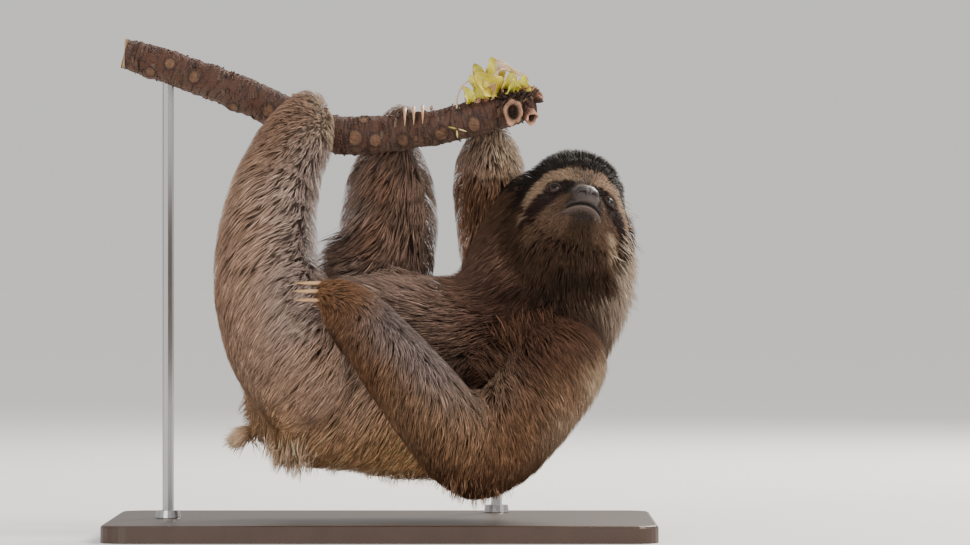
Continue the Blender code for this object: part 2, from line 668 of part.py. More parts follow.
def main():
    clear_scene()
    for name in ("sloth_display", "forms_and_cutters"):
        bpy.context.scene.collection.children.link(bpy.data.collections.new(name))

    soft_sides, soft_steps = 24, 5
    body = fused(
        "body",
        [
            tube("trunk_form", TRUNK, soft_sides, soft_steps),
            ball("rump_form", RUMP_CENTRE, RUMP_HALF, segments=24, rings=16),
            tube("neck_form", NECK, soft_sides, soft_steps),
            tube("leg_left_form", LEG_LEFT, soft_sides, soft_steps),
            tube("leg_right_form", LEG_RIGHT, soft_sides, soft_steps),
            tube("arm_right_form", ARM_RIGHT, soft_sides, soft_steps),
            tube("tail_form", TAIL, soft_sides, soft_steps),
        ],
        BODY_VOXEL,
        BODY_SMOOTHING,
        BODY_TRIANGLES,
    )
    arm_left = fused(
        "arm_left", [tube("arm_left_form", ARM_LEFT, soft_sides, soft_steps)],
        ARM_VOXEL, ARM_SMOOTHING, ARM_TRIANGLES,
    )
    head = head_solid()
    branch = tube("branch", BRANCH, BRANCH_SIDES, steps=3, domed=False)
    claws = [c for limb in HOOKED for c in hooked_claws(limb)] + free_claws()

    # Room for what the sloth holds and wears.
    body_room = copy_of(body, "body_room", GAP)
    head_room = copy_of(head, "head_room", 4 * GAP, kept=0.5)
    branch_room = copy_of(branch, "branch_room", GAP)
    claw_rooms = [copy_of(c, c.name + "_room", GAP) for c in claws]
    carve(body, [head_room, branch_room, *claw_rooms])
    carve(arm_left, [body_room, head_room, *claw_rooms])
    discard(body_room, head_room, branch_room, *claw_rooms)

    # Trunk, neck and tail are what lies inside their own forms, a little grown. The limbs are what is left over.
    trunk_forms = [
        tube("trunk_form", TRUNK[:-1], soft_sides, soft_steps, grown=TRUNK_MARGIN),
        ball("rump_form", RUMP_CENTRE, np.array(RUMP_HALF) + TRUNK_MARGIN, segments=24, rings=16),
    ]
    trunk, body = take(body, "trunk", trunk_forms)
    neck, body = take(body, "neck", [tube("neck_form", NECK, soft_sides, soft_steps, grown=NECK_MARGIN)])
    tail, body = take(body, "tail", [tube("tail_form", TAIL, soft_sides, soft_steps, grown=TAIL_MARGIN)])
    for piece in (trunk, neck, tail):
        finish(piece, piece.name, "coat")
    pieces = []
    for volume, piece in loose_pieces(body):
        if volume > 2e-6:
            data = bpy.data.meshes.new("piece")
            piece.to_mesh(data)
            pieces.append(mesh_object("piece", data))
        piece.free()
    discard(body)

    def limb(seed, name):
        found = piece_near(pieces, seed)
        found.name = name
        return found

    thigh, lower = split(limb(LEG_LEFT[3][:3], "leg_left"), *joint(LEG_LEFT, 2))
    shank, foot = split(lower, *joint(LEG_LEFT, 4))
    finish(thigh, "leg_left_thigh", "coat")
    finish(shank, "leg_left_shank", "coat")
    finish(foot, "foot_left", "coat")

    thigh, lower = split(limb(LEG_RIGHT[3][:3], "leg_right"), *joint(LEG_RIGHT, 2))
    shank, foot = split(lower, *joint(LEG_RIGHT, 4))
    finish(thigh, "leg_right_thigh", "coat")
    finish(shank, "leg_right_shank", "coat")
    finish(foot, "foot_right", "coat")

    upper, lower = split(limb(ARM_RIGHT[3][:3], "arm_right"), *joint(ARM_RIGHT, 1))
    forearm, hand = split(lower, *joint(ARM_RIGHT, 4))
    finish(upper, "arm_right_upper", "coat")
    finish(forearm, "arm_right_forearm", "coat")
    finish(hand, "hand_right", "coat")

    upper, lower = split(arm_left, *joint(ARM_LEFT, 3))
    forearm, hand = split(lower, *joint(ARM_LEFT, 6))
    finish(upper, "arm_left_upper", "coat")
    finish(forearm, "arm_left_forearm", "coat")
    finish(hand, "hand_left", "coat")

    # Face.
    eyes = []
    for name, side in (("eye_left", 1), ("eye_right", -1)):
        place = on_head(np.array(EYE_PLACE) * (side, 1, 1))
        eyes.append(ball(name, place, [EYE_RADIUS] * 3, HEAD_AXES))
    nose = ball("nose", on_head(NOSE_PLACE), NOSE_HALF, HEAD_AXES)
    rooms = [copy_of(piece, piece.name + "_room", GAP) for piece in (*eyes, nose)]
    mouth = mouth_cutter()
    carve(head, [mouth, *rooms])
    discard(mouth, *rooms)
    finish(head, "head", "coat")
    finish(nose, "nose", "nose")
    for eye in eyes:
        finish(eye, eye.name, "eye")
    for hook in claws:
        finish(hook, hook.name, "claw")

    # Branch, leaves and stand.
    branch_room = copy_of(branch, "branch_room", GAP)
    for number, row in enumerate(LEAVES, 1):
        finish(carve(leaf(number, *row), [branch_room]), f"leaf_{number}", "leaf")
    for name, path in (("stand_rod_left", left_rod_path()), ("stand_rod_right", right_rod_path())):
        finish(carve(rod(name, path), [branch_room]), name, "stand_steel")
    discard(branch_room)
    finish(branch, "branch", "bark")
    finish(base_plate(), "stand_base", "stand_wood")


main()
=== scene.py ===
# %% [markdown]
# A three-toed sloth hangs from a cut length of branch on a plain museum stand. The packed
# construction gives the place and size of every part. This lesson builds the looks around it:
# one skin under a coat of modelled locks, eyes, claws, bark, leaves and the finishes.

# %% Load the frame
import json

import bpy
import numpy as np
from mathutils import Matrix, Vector

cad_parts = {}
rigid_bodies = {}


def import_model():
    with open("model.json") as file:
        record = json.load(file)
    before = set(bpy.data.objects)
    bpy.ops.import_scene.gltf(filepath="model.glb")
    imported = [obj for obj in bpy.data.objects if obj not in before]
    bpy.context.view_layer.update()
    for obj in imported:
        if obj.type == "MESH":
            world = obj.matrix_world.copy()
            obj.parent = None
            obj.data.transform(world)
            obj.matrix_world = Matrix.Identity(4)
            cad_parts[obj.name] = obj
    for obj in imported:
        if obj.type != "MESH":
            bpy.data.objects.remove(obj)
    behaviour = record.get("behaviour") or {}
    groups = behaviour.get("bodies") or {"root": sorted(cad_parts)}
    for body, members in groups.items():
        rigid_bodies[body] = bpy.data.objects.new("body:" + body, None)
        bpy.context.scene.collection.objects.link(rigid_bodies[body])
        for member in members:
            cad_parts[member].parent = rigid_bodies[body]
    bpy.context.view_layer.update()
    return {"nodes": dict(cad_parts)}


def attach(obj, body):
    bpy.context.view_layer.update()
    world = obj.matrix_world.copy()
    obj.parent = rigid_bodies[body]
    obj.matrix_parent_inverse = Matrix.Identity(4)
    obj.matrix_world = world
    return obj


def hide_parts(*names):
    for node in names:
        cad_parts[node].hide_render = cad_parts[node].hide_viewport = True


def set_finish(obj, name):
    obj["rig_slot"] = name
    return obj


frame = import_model()
nodes = frame["nodes"]

# %% [markdown]
# Every new piece is a surface worked out as arrays of points and faces. One helper puts such
# arrays into a mesh whose object stays at the origin, one gives the faces of a grid, and one
# keeps a colour at every point. The small ones after them serve every step that follows.

# %% Meshes from arrays
MM = 0.001


def new_object(name, points, *polygons):
    """An object at the origin, from its points and one array of faces per number of sides."""
    mesh = bpy.data.meshes.new(name)
    mesh.vertices.add(len(points))
    mesh.vertices.foreach_set("co", np.ascontiguousarray(points, np.float32).ravel())
    corners = np.concatenate([faces.ravel() for faces in polygons]).astype(np.int32)
    sides = np.concatenate([np.full(len(faces), faces.shape[1]) for faces in polygons])
    mesh.loops.add(len(corners))
    mesh.loops.foreach_set("vertex_index", corners)
    mesh.polygons.add(len(sides))
    mesh.polygons.foreach_set("loop_start", (np.cumsum(sides) - sides).astype(np.int32))
    mesh.update(calc_edges=True)
    mesh.shade_smooth()
    obj = bpy.data.objects.new(name, mesh)
    bpy.context.scene.collection.objects.link(obj)
    return obj


def points_of(obj):
    """The points of an object's mesh with its modifiers, as an array."""
    bpy.context.view_layer.update()
    mesh = obj.evaluated_get(bpy.context.evaluated_depsgraph_get()).data
    points = np.empty(len(mesh.vertices) * 3, np.float32)
    mesh.vertices.foreach_get("co", points)
    return points.reshape(-1, 3).astype(float)


def triangles_of(mesh):
    """A mesh's triangles as an array of three point numbers each."""
    mesh.calc_loop_triangles()
    corners = np.empty(len(mesh.loop_triangles) * 3, np.int32)
    mesh.loop_triangles.foreach_get("vertices", corners)
    return corners.reshape(-1, 3)


def grid_faces(rows, columns, wrap=True, first=0):
    """Quads of a grid of points, closed round its columns or left open."""
    row, column = np.meshgrid(np.arange(rows - 1), np.arange(columns - (not wrap)), indexing="ij")
    here, beside = row * columns + column, row * columns + (column + 1) % columns
    quads = together(here, beside, beside + columns, here + columns)
    return quads.reshape(-1, 4) + first


def paint(obj, rgb, name="tint"):
    """Gives every point of a piece its own colour."""
    rgba = np.ones((len(rgb), 4), np.float32)
    rgba[:, :3] = np.clip(rgb, 0, 1)
    layer = obj.data.color_attributes.new(name, "FLOAT_COLOR", "POINT")
    layer.data.foreach_set("color", rgba.ravel())


def apply_modifiers(obj, *steps):
    """Adds modifiers, each a (name, kind, settings), and keeps the result as the object's mesh."""
    for name, kind, settings in steps:
        modifier = obj.modifiers.new(name, kind)
        for key, value in settings.items():
            setattr(modifier, key, value)
    bpy.context.view_layer.update()
    finished = obj.evaluated_get(bpy.context.evaluated_depsgraph_get())
    obj.data = bpy.data.meshes.new_from_object(finished)
    obj.modifiers.clear()


def unit(vectors):
    """Vectors of length one."""
    return vectors / np.maximum(np.linalg.norm(vectors, axis=-1, keepdims=True), 1e-12)


def together(*values):
    """Values as the last axis of one array, each spread over the shape of the others."""
    return np.stack(np.broadcast_arrays(*values), axis=-1)


def between(first, second, share):
    """From the first value to the second, as the share goes from 0 to 1."""
    return first * (1 - share) + second * share


def bell(value, middle, reach):
    """1 at the middle, falling off as exp(-((value - middle) / reach) squared)."""
    return np.exp(-(((value - middle) / reach) ** 2))


def smooth_step(value, low, high):
    """0 below low, 1 above high, and a smooth ramp between; low may be the larger."""
    t = np.clip((value - low) / (high - low), 0, 1)
    return t * t * (3 - 2 * t)


def colour(red, green, blue):
    """The linear colour of a screen colour given from 0 to 255."""
    value = np.array((red, green, blue)) / 255
    return np.where(value < 0.04045, value / 12.92, ((value + 0.055) / 1.055) ** 2.4)


# %% [markdown]
# Nature is never even, so many pieces need smooth randomness. A lattice of random numbers,
# blended inside each cube of the lattice, gives the same bumps on every run.

# %% Smooth noise
SCRAMBLE, SEED_STEP, STRETCH = np.array((12.9898, 78.233, 37.719)), 19.19, 43758.5453


def noise(points, size, seed=0):
    """Value noise from -1 to 1: random numbers at lattice corners, blended by smooth ramps.

    A corner's number is the fraction left by a stretched sine of its scrambled place.
    """
    scaled = np.asarray(points, float) / size
    cell = np.floor(scaled)
    ramp = scaled - cell
    ramp = ramp * ramp * (3 - 2 * ramp)
    total = np.zeros(len(scaled))
    for corner in np.indices((2, 2, 2)).reshape(3, -1).T:
        key = (cell + corner) @ SCRAMBLE + seed * SEED_STEP
        value = np.modf(np.abs(np.sin(key) * STRETCH))[0]
        total += value * np.prod(np.where(corner, ramp, 1 - ramp), axis=1)
    return 2 * total - 1


# %% [markdown]
# The skin and the coat both start from the body's outer form. The construction holds it as
# sixteen closed pieces with hair-thin gaps between them. A merged copy of each is swollen
# until they touch, remeshed as one surface, smoothed, and shrunk back, so no seam is left.

# %% One outer form from the flesh nodes
FLESH = (
    "trunk", "neck", "head", "tail",
    "arm_left_upper", "arm_left_forearm", "hand_left",
    "arm_right_upper", "arm_right_forearm", "hand_right",
    "leg_left_thigh", "leg_left_shank", "foot_left",
    "leg_right_thigh", "leg_right_shank", "foot_right",
)
SWELLING = 0.8 * MM  # closes the gaps between the nodes


def remesh(voxel):
    """Settings of a modifier that makes one smooth surface, in cells of one size."""
    return {"mode": "VOXEL", "voxel_size": voxel, "use_smooth_shade": True}


SAME_POINT = 1e-6  # points nearer than this are one
# x and z of the middle, of the reach, and of the shift, in millimetres: under the rump, beside
# the tail, behind the hip, and below the shoulder
TUCKS = (
    ((-58, 40), (27, 14), (0, 6.5)), ((-103, 88), (15, 19), (7.5, 0)),
    ((-114, 132), (14, 26), (3.0, 0)), ((148, 88), (16, 24), (-5.5, 1.0)),
)


def merged(node):
    """A node's points, each once, and its triangles; tucks draw in where only loose hair hangs."""
    points = points_of(nodes[node])
    keys, index = np.unique(
        np.round(points / SAME_POINT).astype(np.int64), axis=0, return_inverse=True
    )
    points = keys * SAME_POINT
    places = points[:, (0, 2)] / MM
    for middle, reach, shift in TUCKS:
        share = np.exp(-(((places - middle) / reach) ** 2).sum(axis=1))
        points[:, (0, 2)] += share[:, None] * np.array(shift) * MM
    return points, index.ravel()[triangles_of(nodes[node].data)]


flesh = {node: merged(node) for node in FLESH}
starts = np.cumsum([0] + [len(points) for points, _ in flesh.values()])
form = new_object(
    "body_form",
    np.vstack([points for points, _ in flesh.values()]),
    np.vstack([faces + start for (_, faces), start in zip(flesh.values(), starts)]),
)
apply_modifiers(
    form,
    ("swell", "DISPLACE", {"strength": SWELLING, "mid_level": 0.0}),
    ("one_surface", "REMESH", remesh(2.2 * MM)),
    ("soften", "SMOOTH", {"factor": 0.5, "iterations": 5}),
    ("shrink", "DISPLACE", {"strength": -SWELLING, "mid_level": 0.0}),
)
form_points = points_of(form)
print("outer form:", len(form_points), "points")

# %% [markdown]
# Thousands of locks must follow this form, so its distance is measured once on a grid of
# small cells. A shrinkwrap moves the grid's points to the form, and how far each one moved is
# its distance. Air is whatever can be reached from the edge of the grid without crossing
# the form; there the distance counts up as a height, and inside it counts down as a depth.

# %% The height above the outer form, on a grid
CELL = 2.6 * MM
MARGIN = 16 * MM  # of air round the form
CLEAR = 0.6 * CELL  # two neighbours both farther off than this are on one side of the form
grid_low = form_points.min(axis=0) - MARGIN
grid_count = np.ceil((form_points.max(axis=0) + MARGIN - grid_low) / CELL).astype(int)
lattice = grid_low + CELL * np.indices(grid_count).reshape(3, -1).T
probe = new_object("probe", lattice, np.zeros((0, 3), int))
wrap = probe.modifiers.new("wrap", "SHRINKWRAP")
wrap.target, wrap.offset = form, 0.0
moved = {}
for side in ("INSIDE", "OUTSIDE"):
    wrap.wrap_mode = side
    moved[side] = np.linalg.norm(points_of(probe) - lattice, axis=1).reshape(grid_count)
bpy.data.objects.remove(probe)

distance = moved["INSIDE"] + moved["OUTSIDE"]  # one of the two is nothing
clear = distance > CLEAR
air = np.zeros(clear.shape, bool)
air[0] = True
reached = 0
while air.sum() > reached:
    reached = air.sum()
    for axis in range(3):
        air |= clear & (np.roll(air, 1, axis) | np.roll(air, -1, axis))
above = np.where(clear, air, moved["INSIDE"] > moved["OUTSIDE"])
height_grid = np.where(above, distance, -distance)
slope_grid = np.stack(np.gradient(height_grid, CELL), axis=-1)


def read_grid(grid, points):
    """A grid's value at any points, blended between the eight corners of a cell."""
    place = np.clip((points - grid_low) / CELL, 0, grid_count - 1.001)  # short of the last corner
    cell = place.astype(int)
    part = place - cell
    total = 0
    for corner in np.indices((2, 2, 2)).reshape(3, -1).T:
        share = np.prod(np.where(corner, part, 1 - part), axis=1)
        value = grid[tuple((cell + corner).T)]
        total = total + (share[:, None] * value if value.ndim > 1 else share * value)
    return total


def body_height(points):
    """How far above the outer form points are."""
    return read_grid(height_grid, points)


def body_outward(points):
    """The direction away from the outer form."""
    return unit(read_grid(slope_grid, points))


print("grid:", grid_count.tolist(), "deepest", round(float(height_grid.min()), 4))

# %% [markdown]
# The head gets the most care, so its skin isn't taken from the remeshed form. It is worked
# out again from the rounded masses that a sculptor would block in first: skull, crown hair,
# cheeks, throat, brow, muzzle and chin. The head has its own axes: side, up and forward.

# %% The head's axes and masses
HEAD_CENTRE = np.array((0.1310, -0.0220, 0.2201))
HEAD_YAW, HEAD_PITCH, HEAD_ROLL = np.radians((20.0, 30.0, 16.0))
HEAD_BLEND = 4.0 * MM  # how softly the masses flow together
HEAD_LIMIT = 80 * MM  # no part of the head is farther from its centre
# place and half-size along side, up and forward, in millimetres, with the coat on
HEAD_MASSES = {
    "cranium": ((0, 4, -8), (41, 41, 35)),
    "crown_hair": ((3, 29.5, 0), (31, 23.5, 28)),
    "cheek_left": ((21, -10, 0), (22, 24, 25)),
    "cheek_right": ((-21, -10, 0), (22, 24, 25)),
    "throat": ((0, -26, -2), (32, 22, 29)),
    "brow": ((0, 14, 17), (24, 10, 11)),
    "muzzle": ((0, -6, 24), (14.5, 12.5, 19)),
    "chin": ((0, -18.5, 19), (14, 9, 15)),
}


def head_axes(yaw, pitch, roll):
    """Unit vectors to the head's left, up and forward."""
    forward = np.array((np.sin(yaw) * np.cos(pitch), -np.cos(yaw) * np.cos(pitch), np.sin(pitch)))
    level = np.array((np.cos(yaw), np.sin(yaw), 0.0))
    left = np.cos(roll) * level - np.sin(roll) * np.cross(forward, level)
    return np.array((left, np.cross(forward, left), forward))


HEAD_AXES = head_axes(HEAD_YAW, HEAD_PITCH, HEAD_ROLL)


def on_head(local):
    """World places of points given as side, up and forward of the head's centre."""
    return HEAD_CENTRE + np.asarray(local, float) @ HEAD_AXES


def to_head(points):
    """Side, up and forward of the head's centre, of world points."""
    return (np.asarray(points, float) - HEAD_CENTRE) @ HEAD_AXES.T


def head_height(local):
    """Soft minimum of the heights above the head's masses, outside of the coat.

    The height above an ellipsoid is near * (near - 1) / slope, where near is the length of
    the point scaled to a unit ball, and slope is how fast that length grows.
    """
    total = 0
    for place, half in HEAD_MASSES.values():
        size = np.array(half) * MM
        scaled = (local - np.array(place) * MM) / size
        near = np.linalg.norm(scaled, axis=-1)
        slope = np.linalg.norm(scaled / size, axis=-1)
        total = total + np.exp(-near * (near - 1) / np.maximum(slope, 1e-6) / HEAD_BLEND)
    return -HEAD_BLEND * np.log(np.maximum(total, 1e-300))


def head_reach(ways):
    """How far the coated head reaches each way from its centre, by halving the interval."""
    low, high = np.zeros(len(ways)), np.full(len(ways), HEAD_LIMIT)
    for _ in range(20):  # to a ten-thousandth of a millimetre
        middle = (low + high) / 2
        inside = head_height(ways * middle[:, None]) < 0
        low, high = np.where(inside, middle, low), np.where(inside, high, middle)
    return (low + high) / 2


def bare(local):
    """1 on the leathery nose, bridge and lips, fading to 0 where hair grows."""
    side, up, forward = local.T / MM
    nose = np.hypot(side / 9.4, (up + 0.5) / 11.0)
    lips = np.hypot(side / 14.0, (up + 11.9 + 3.0 * (side / 14) ** 2) / 2.9)
    return smooth_step(np.minimum(nose, lips), 1.30, 0.82) * smooth_step(forward, 17, 25)


def head_coat(local):
    """How deep the coat is: next to nothing on the muzzle, thin on the face, deep on the crown."""
    side, up, forward = local.T / MM
    edge = np.hypot(side / 36, (up - 1) / 29) + 0.8 * smooth_step(forward, 14, -6)
    deep = 1.5 + 10.5 * smooth_step(edge, 0.90, 1.50) + 3 * smooth_step(up, 24, 40)
    return between(deep, 0.3, bare(local)) * MM


# %% [markdown]
# A ball of directions makes the head's grid. Its columns crowd together towards the face,
# where the eyes and the mouth need them, and its poles hide under the crown and the throat.
# Each eye gets a lid that follows the eyeball with an almond opening in it, the mouth gets a
# groove between two soft lips, and small folds run from the nose to the corners of the mouth.

# %% The head's skin
EYE_RADIUS = 4.8 * MM
EYES = {
    node: np.array((side, 5.6, 22.3)) * MM
    for node, side in (("eye_right", -19.1), ("eye_left", 19.1))
}
LID_THICKNESS = 0.8 * MM
LID_WIDE, LID_TALL, LID_TILT = 4.5 * MM, 2.8 * MM, np.radians(-16)  # half the opening, its slant
MOUTH_TURN = np.radians(27)  # to each corner
MOUTH_POINTS = 41
HEAD_COLUMNS, HEAD_ROWS = 250, 150

turn = np.linspace(-1, 1, HEAD_COLUMNS, endpoint=False)
around = np.pi * (0.30 * turn + 0.70 * turn**3)  # 0 is straight ahead, where columns crowd
rise = np.linspace(-1, 1, HEAD_ROWS + 2)[1:-1]
tilt = np.radians(-6) * (1 - rise**2) + np.pi / 2 * (0.62 * rise + 0.38 * rise**3)
tilts, arounds = (angle.ravel() for angle in np.meshgrid(tilt, around, indexing="ij"))
level = np.cos(tilts)
head_ways = together(np.sin(arounds) * level, np.sin(tilts), np.cos(arounds) * level)
head_ways = np.vstack([head_ways, (0, -1, 0), (0, 1, 0)])


def mouth_line():
    """Points from corner to corner between the lips, on the skin: an arc whose ends hang lower."""
    angles = np.linspace(-MOUTH_TURN, MOUTH_TURN, MOUTH_POINTS)
    fall = -0.285 - 0.13 * np.linspace(-1, 1, MOUTH_POINTS) ** 2
    ways = unit(together(np.sin(angles), fall, np.cos(angles)))
    return ways * head_reach(ways)[:, None]


def nearest(points, targets):
    """The distance of each point to the nearest of a few targets, and which one that is."""
    gaps = np.linalg.norm(points[:, None] - targets[None], axis=-1)
    return gaps.min(axis=1), gaps.argmin(axis=1)


def eye_frame(centre):
    """The axes of an eye: along the slanting lids away from the nose, across them, and outwards."""
    out = unit(centre + np.array((0, 0, 8 * MM)))
    side = unit(np.cross((0, 1, 0), out)) * np.sign(centre[0])
    up = unit(np.array((0, 1.0, 0)) - out * out[1])
    along = side * np.cos(LID_TILT) + up * np.sin(LID_TILT)
    across = up * np.cos(LID_TILT) - side * np.sin(LID_TILT)
    return along, across, out


def eyelids(ways, reach):
    """The reach with lids: skin follows each eyeball, and drops behind it inside the opening.

    The socket dips a little round the eye. Each lid has a rim along its edge, and the upper
    one a crease. The ball's own reach is forward + root(radius squared - miss squared).
    """
    for centre in EYES.values():
        along, across, _ = eye_frame(centre)
        offset = ways * reach[:, None] - centre
        x, y = offset @ along, offset @ across
        almond = np.hypot(x / LID_WIDE, (y + 0.5 * MM * (x / LID_WIDE) ** 2) / LID_TALL)
        forward = ways @ centre
        miss = np.sqrt(np.maximum(centre @ centre - forward**2, 0))
        lid = EYE_RADIUS + LID_THICKNESS
        over_ball = forward + np.sqrt(np.maximum(lid**2 - miss**2, 0))
        ahead = forward > 0
        reach = reach - 0.9 * MM * smooth_step(np.hypot(x, 1.2 * y), 10 * MM, 5 * MM)
        near = smooth_step(miss, 7.0 * MM, 4.2 * MM) * ahead
        reach = between(reach, np.maximum(over_ball, reach - 1.0 * MM), near)
        reach = reach + 0.30 * MM * bell(almond, 1.18, 0.20) * near
        crease = bell(almond, 1.95, 0.16) * smooth_step(y, -1 * MM, 1.5 * MM)
        reach = reach - 0.45 * MM * crease * near
        reach = reach - smooth_step(almond, 1.05, 0.92) * (LID_THICKNESS + 1.5 * MM) * ahead
    return reach


def face_relief(ways, reach):
    """The reach with the mouth's groove, lips, the folds beside the nose, and the lids."""
    points = ways * reach[:, None]
    mouth = mouth_line()
    gap, which = nearest(points, mouth)
    corner = np.abs(2 * which / (MOUTH_POINTS - 1) - 1)  # 0 in the middle, 1 at either corner
    above = points[:, 1] > mouth[which, 1]
    reach = reach - 3.2 * MM * bell(gap, 0, 1.0 * MM) * (1 - 0.6 * corner**6)
    lip = bell(gap, 2.6 * MM, 1.4 * MM) * (1 - corner**3)
    reach = reach + lip * np.where(above, 0.7, 1.1) * MM
    side, up, forward = points.T
    front = smooth_step(forward, 24 * MM, 30 * MM)
    fold = bell(np.abs(side) + 0.25 * up, 11.5 * MM, 2.4 * MM)
    fold = fold * smooth_step(up, -14 * MM, -7 * MM) * smooth_step(up, 14 * MM, 7 * MM) * front
    reach = reach - 0.5 * MM * fold + 0.15 * MM * noise(points, 2.4 * MM, 5) * front
    return eyelids(ways, reach)


head_out = head_reach(head_ways)
head_out = head_out - head_coat(head_ways * head_out[:, None])
head_points = head_ways * face_relief(head_ways, head_out)[:, None]
first = np.arange(HEAD_COLUMNS)
last = first + (HEAD_ROWS - 1) * HEAD_COLUMNS
pole = HEAD_ROWS * HEAD_COLUMNS
caps = np.vstack([
    together(np.roll(first, -1), first, pole),
    together(last, np.roll(last, -1), pole + 1),
])
head_skin = new_object("head_skin", on_head(head_points), grid_faces(HEAD_ROWS, HEAD_COLUMNS), caps)
print("head skin:", len(head_points), "points")

# %% [markdown]
# The body's skin is the outer form drawn in by the depth of the coat, which is deep on the
# trunk, thinner on the limbs and thinnest on the hands and feet. Then the head's skin is
# joined on by a Boolean union, so that one skin runs from the nose to the tail.

# %% One skin
# where, how far it is felt, and how deep the coat is, all in millimetres
COAT_DEPTHS = (
    ((-20, 0, 105), 60, 11), ((60, 0, 100), 50, 11), ((-75, -40, 150), 35, 9),
    ((-82, -50, 200), 30, 7.5), ((-74, -36, 240), 22, 6.5), ((-62, -24, 272), 14, 4.5),
    ((-53, -14, 292), 14, 3), ((0, 46, 190), 30, 9), ((5, 38, 240), 20, 6.5),
    ((6, 24, 272), 12, 4), ((13, 10, 293), 12, 2.6), ((85, 46, 190), 25, 7.5),
    ((75, 32, 250), 18, 6), ((73, 20, 285), 13, 3), ((100, -50, 95), 35, 9.5),
    ((60, -74, 65), 25, 8), ((30, -88, 98), 25, 7), ((2, -94, 133), 18, 5.5),
    ((-24, -100, 160), 14, 3.4), ((-38, -101, 172), 10, 2.4), ((-90, 2, 78), 12, 4.5),
    ((112, -4, 172), 28, 11), ((131, -5, 222), 30, 19), ((131, -55, 225), 22, 8),
)
FAR_AWAY = 12  # reaches; beyond this a place no longer counts for less


def bell_shares(points, places, reaches, floor):
    """How much each place counts at every point: a bell of its own reach, and a trace beyond it."""
    gaps = np.linalg.norm(points[:, None] - np.array(places)[None], axis=-1) / np.array(reaches)
    weight = np.exp(-0.5 * np.minimum(gaps, FAR_AWAY) ** 2) + floor / (1 + gaps**2)
    return weight / weight.sum(axis=1, keepdims=True)


def coat_depth(points):
    """How deep the coat is at each point of the body."""
    places, reaches, depths = zip(*COAT_DEPTHS)
    return bell_shares(points / MM, places, reaches, 1e-12) @ np.array(depths, float) * MM


normals = np.empty(len(form_points) * 3, np.float32)
form.data.vertices.foreach_get("normal", normals)
drawn_in = form_points - normals.reshape(-1, 3) * coat_depth(form_points)[:, None]
form_faces = np.empty(len(form.data.polygons) * 4, np.int32)
form.data.polygons.foreach_get("vertices", form_faces)
skin = new_object("skin", drawn_in, form_faces.reshape(-1, 4))
apply_modifiers(
    skin,
    ("even_out", "SMOOTH", {"factor": 0.5, "iterations": 6}),
    ("coarser", "REMESH", remesh(3.0 * MM)),
    ("with_head", "BOOLEAN", {"operation": "UNION", "solver": "MANIFOLD", "object": head_skin}),
)
bpy.data.objects.remove(head_skin)
bpy.data.objects.remove(form)
skin_points = points_of(skin)
print("skin:", len(skin_points), "points,", len(triangles_of(skin.data)), "triangles")

# %% [markdown]
# Fur is combed before it is coloured. A groomer would say which way the hair lies at a few
# places on each limb and how long it is there, and the rest follows between those places.
# So each part of the coat has a short list: the place, how far it is felt, the angle the
# hair points to as seen from the side, its length, how far it stands off, and its colour.

# %% The lie, length and colour of the coat
COLOURS = {
    # legs, near and far
    "leg": colour(168, 138, 118), "leg_dark": colour(144, 114, 95),
    "leg_grey": colour(160, 141, 132), "far": colour(136, 111, 97), "far_dark": colour(112, 88, 75),
    "far_red": colour(138, 100, 78), "far_brown": colour(116, 84, 63),
    # rump, tail and back
    "rump": colour(164, 130, 98), "rump_low": colour(214, 168, 120), "pink": colour(240, 204, 172),
    "cream": colour(238, 212, 184), "back": colour(142, 117, 98),
    # arms and hands
    "shoulder": colour(142, 109, 83), "arm": colour(110, 79, 57), "arm_grey": colour(128, 107, 92),
    # the pale tan for the far arm is painted light, lifting it where it lies in shade
    "arm_painted_light": colour(184, 142, 116), "forearm": colour(124, 95, 72),
    "lavender": colour(120, 107, 104), "hand": colour(112, 80, 57),
    # breast and belly
    "breast": colour(82, 59, 46), "breast_dark": colour(82, 56, 42), "chest": colour(71, 47, 36),
    # hollow is painted shade in the armpit and in the crease under the resting hand
    "hollow": colour(48, 34, 29), "belly": colour(146, 122, 109), "belly_dark": colour(120, 93, 80),
    # orange is warm brown fur with painted back light on it, low on the front of the trunk
    "orange_and_backlit": colour(134, 97, 68),
    # throat and mane
    # throat_shadow is painted shadow under the chin, where the head meets the chest
    "throat": colour(75, 54, 40), "throat_shadow": colour(52, 35, 26), "mane": colour(94, 74, 61),
    # mane_pale_and_sunlit is paler hair with painted sunlight on it; pale is painted sunlight on
    # edges that face the light
    "mane_pale_and_sunlit": colour(166, 148, 132), "pale": colour(184, 162, 138),
}
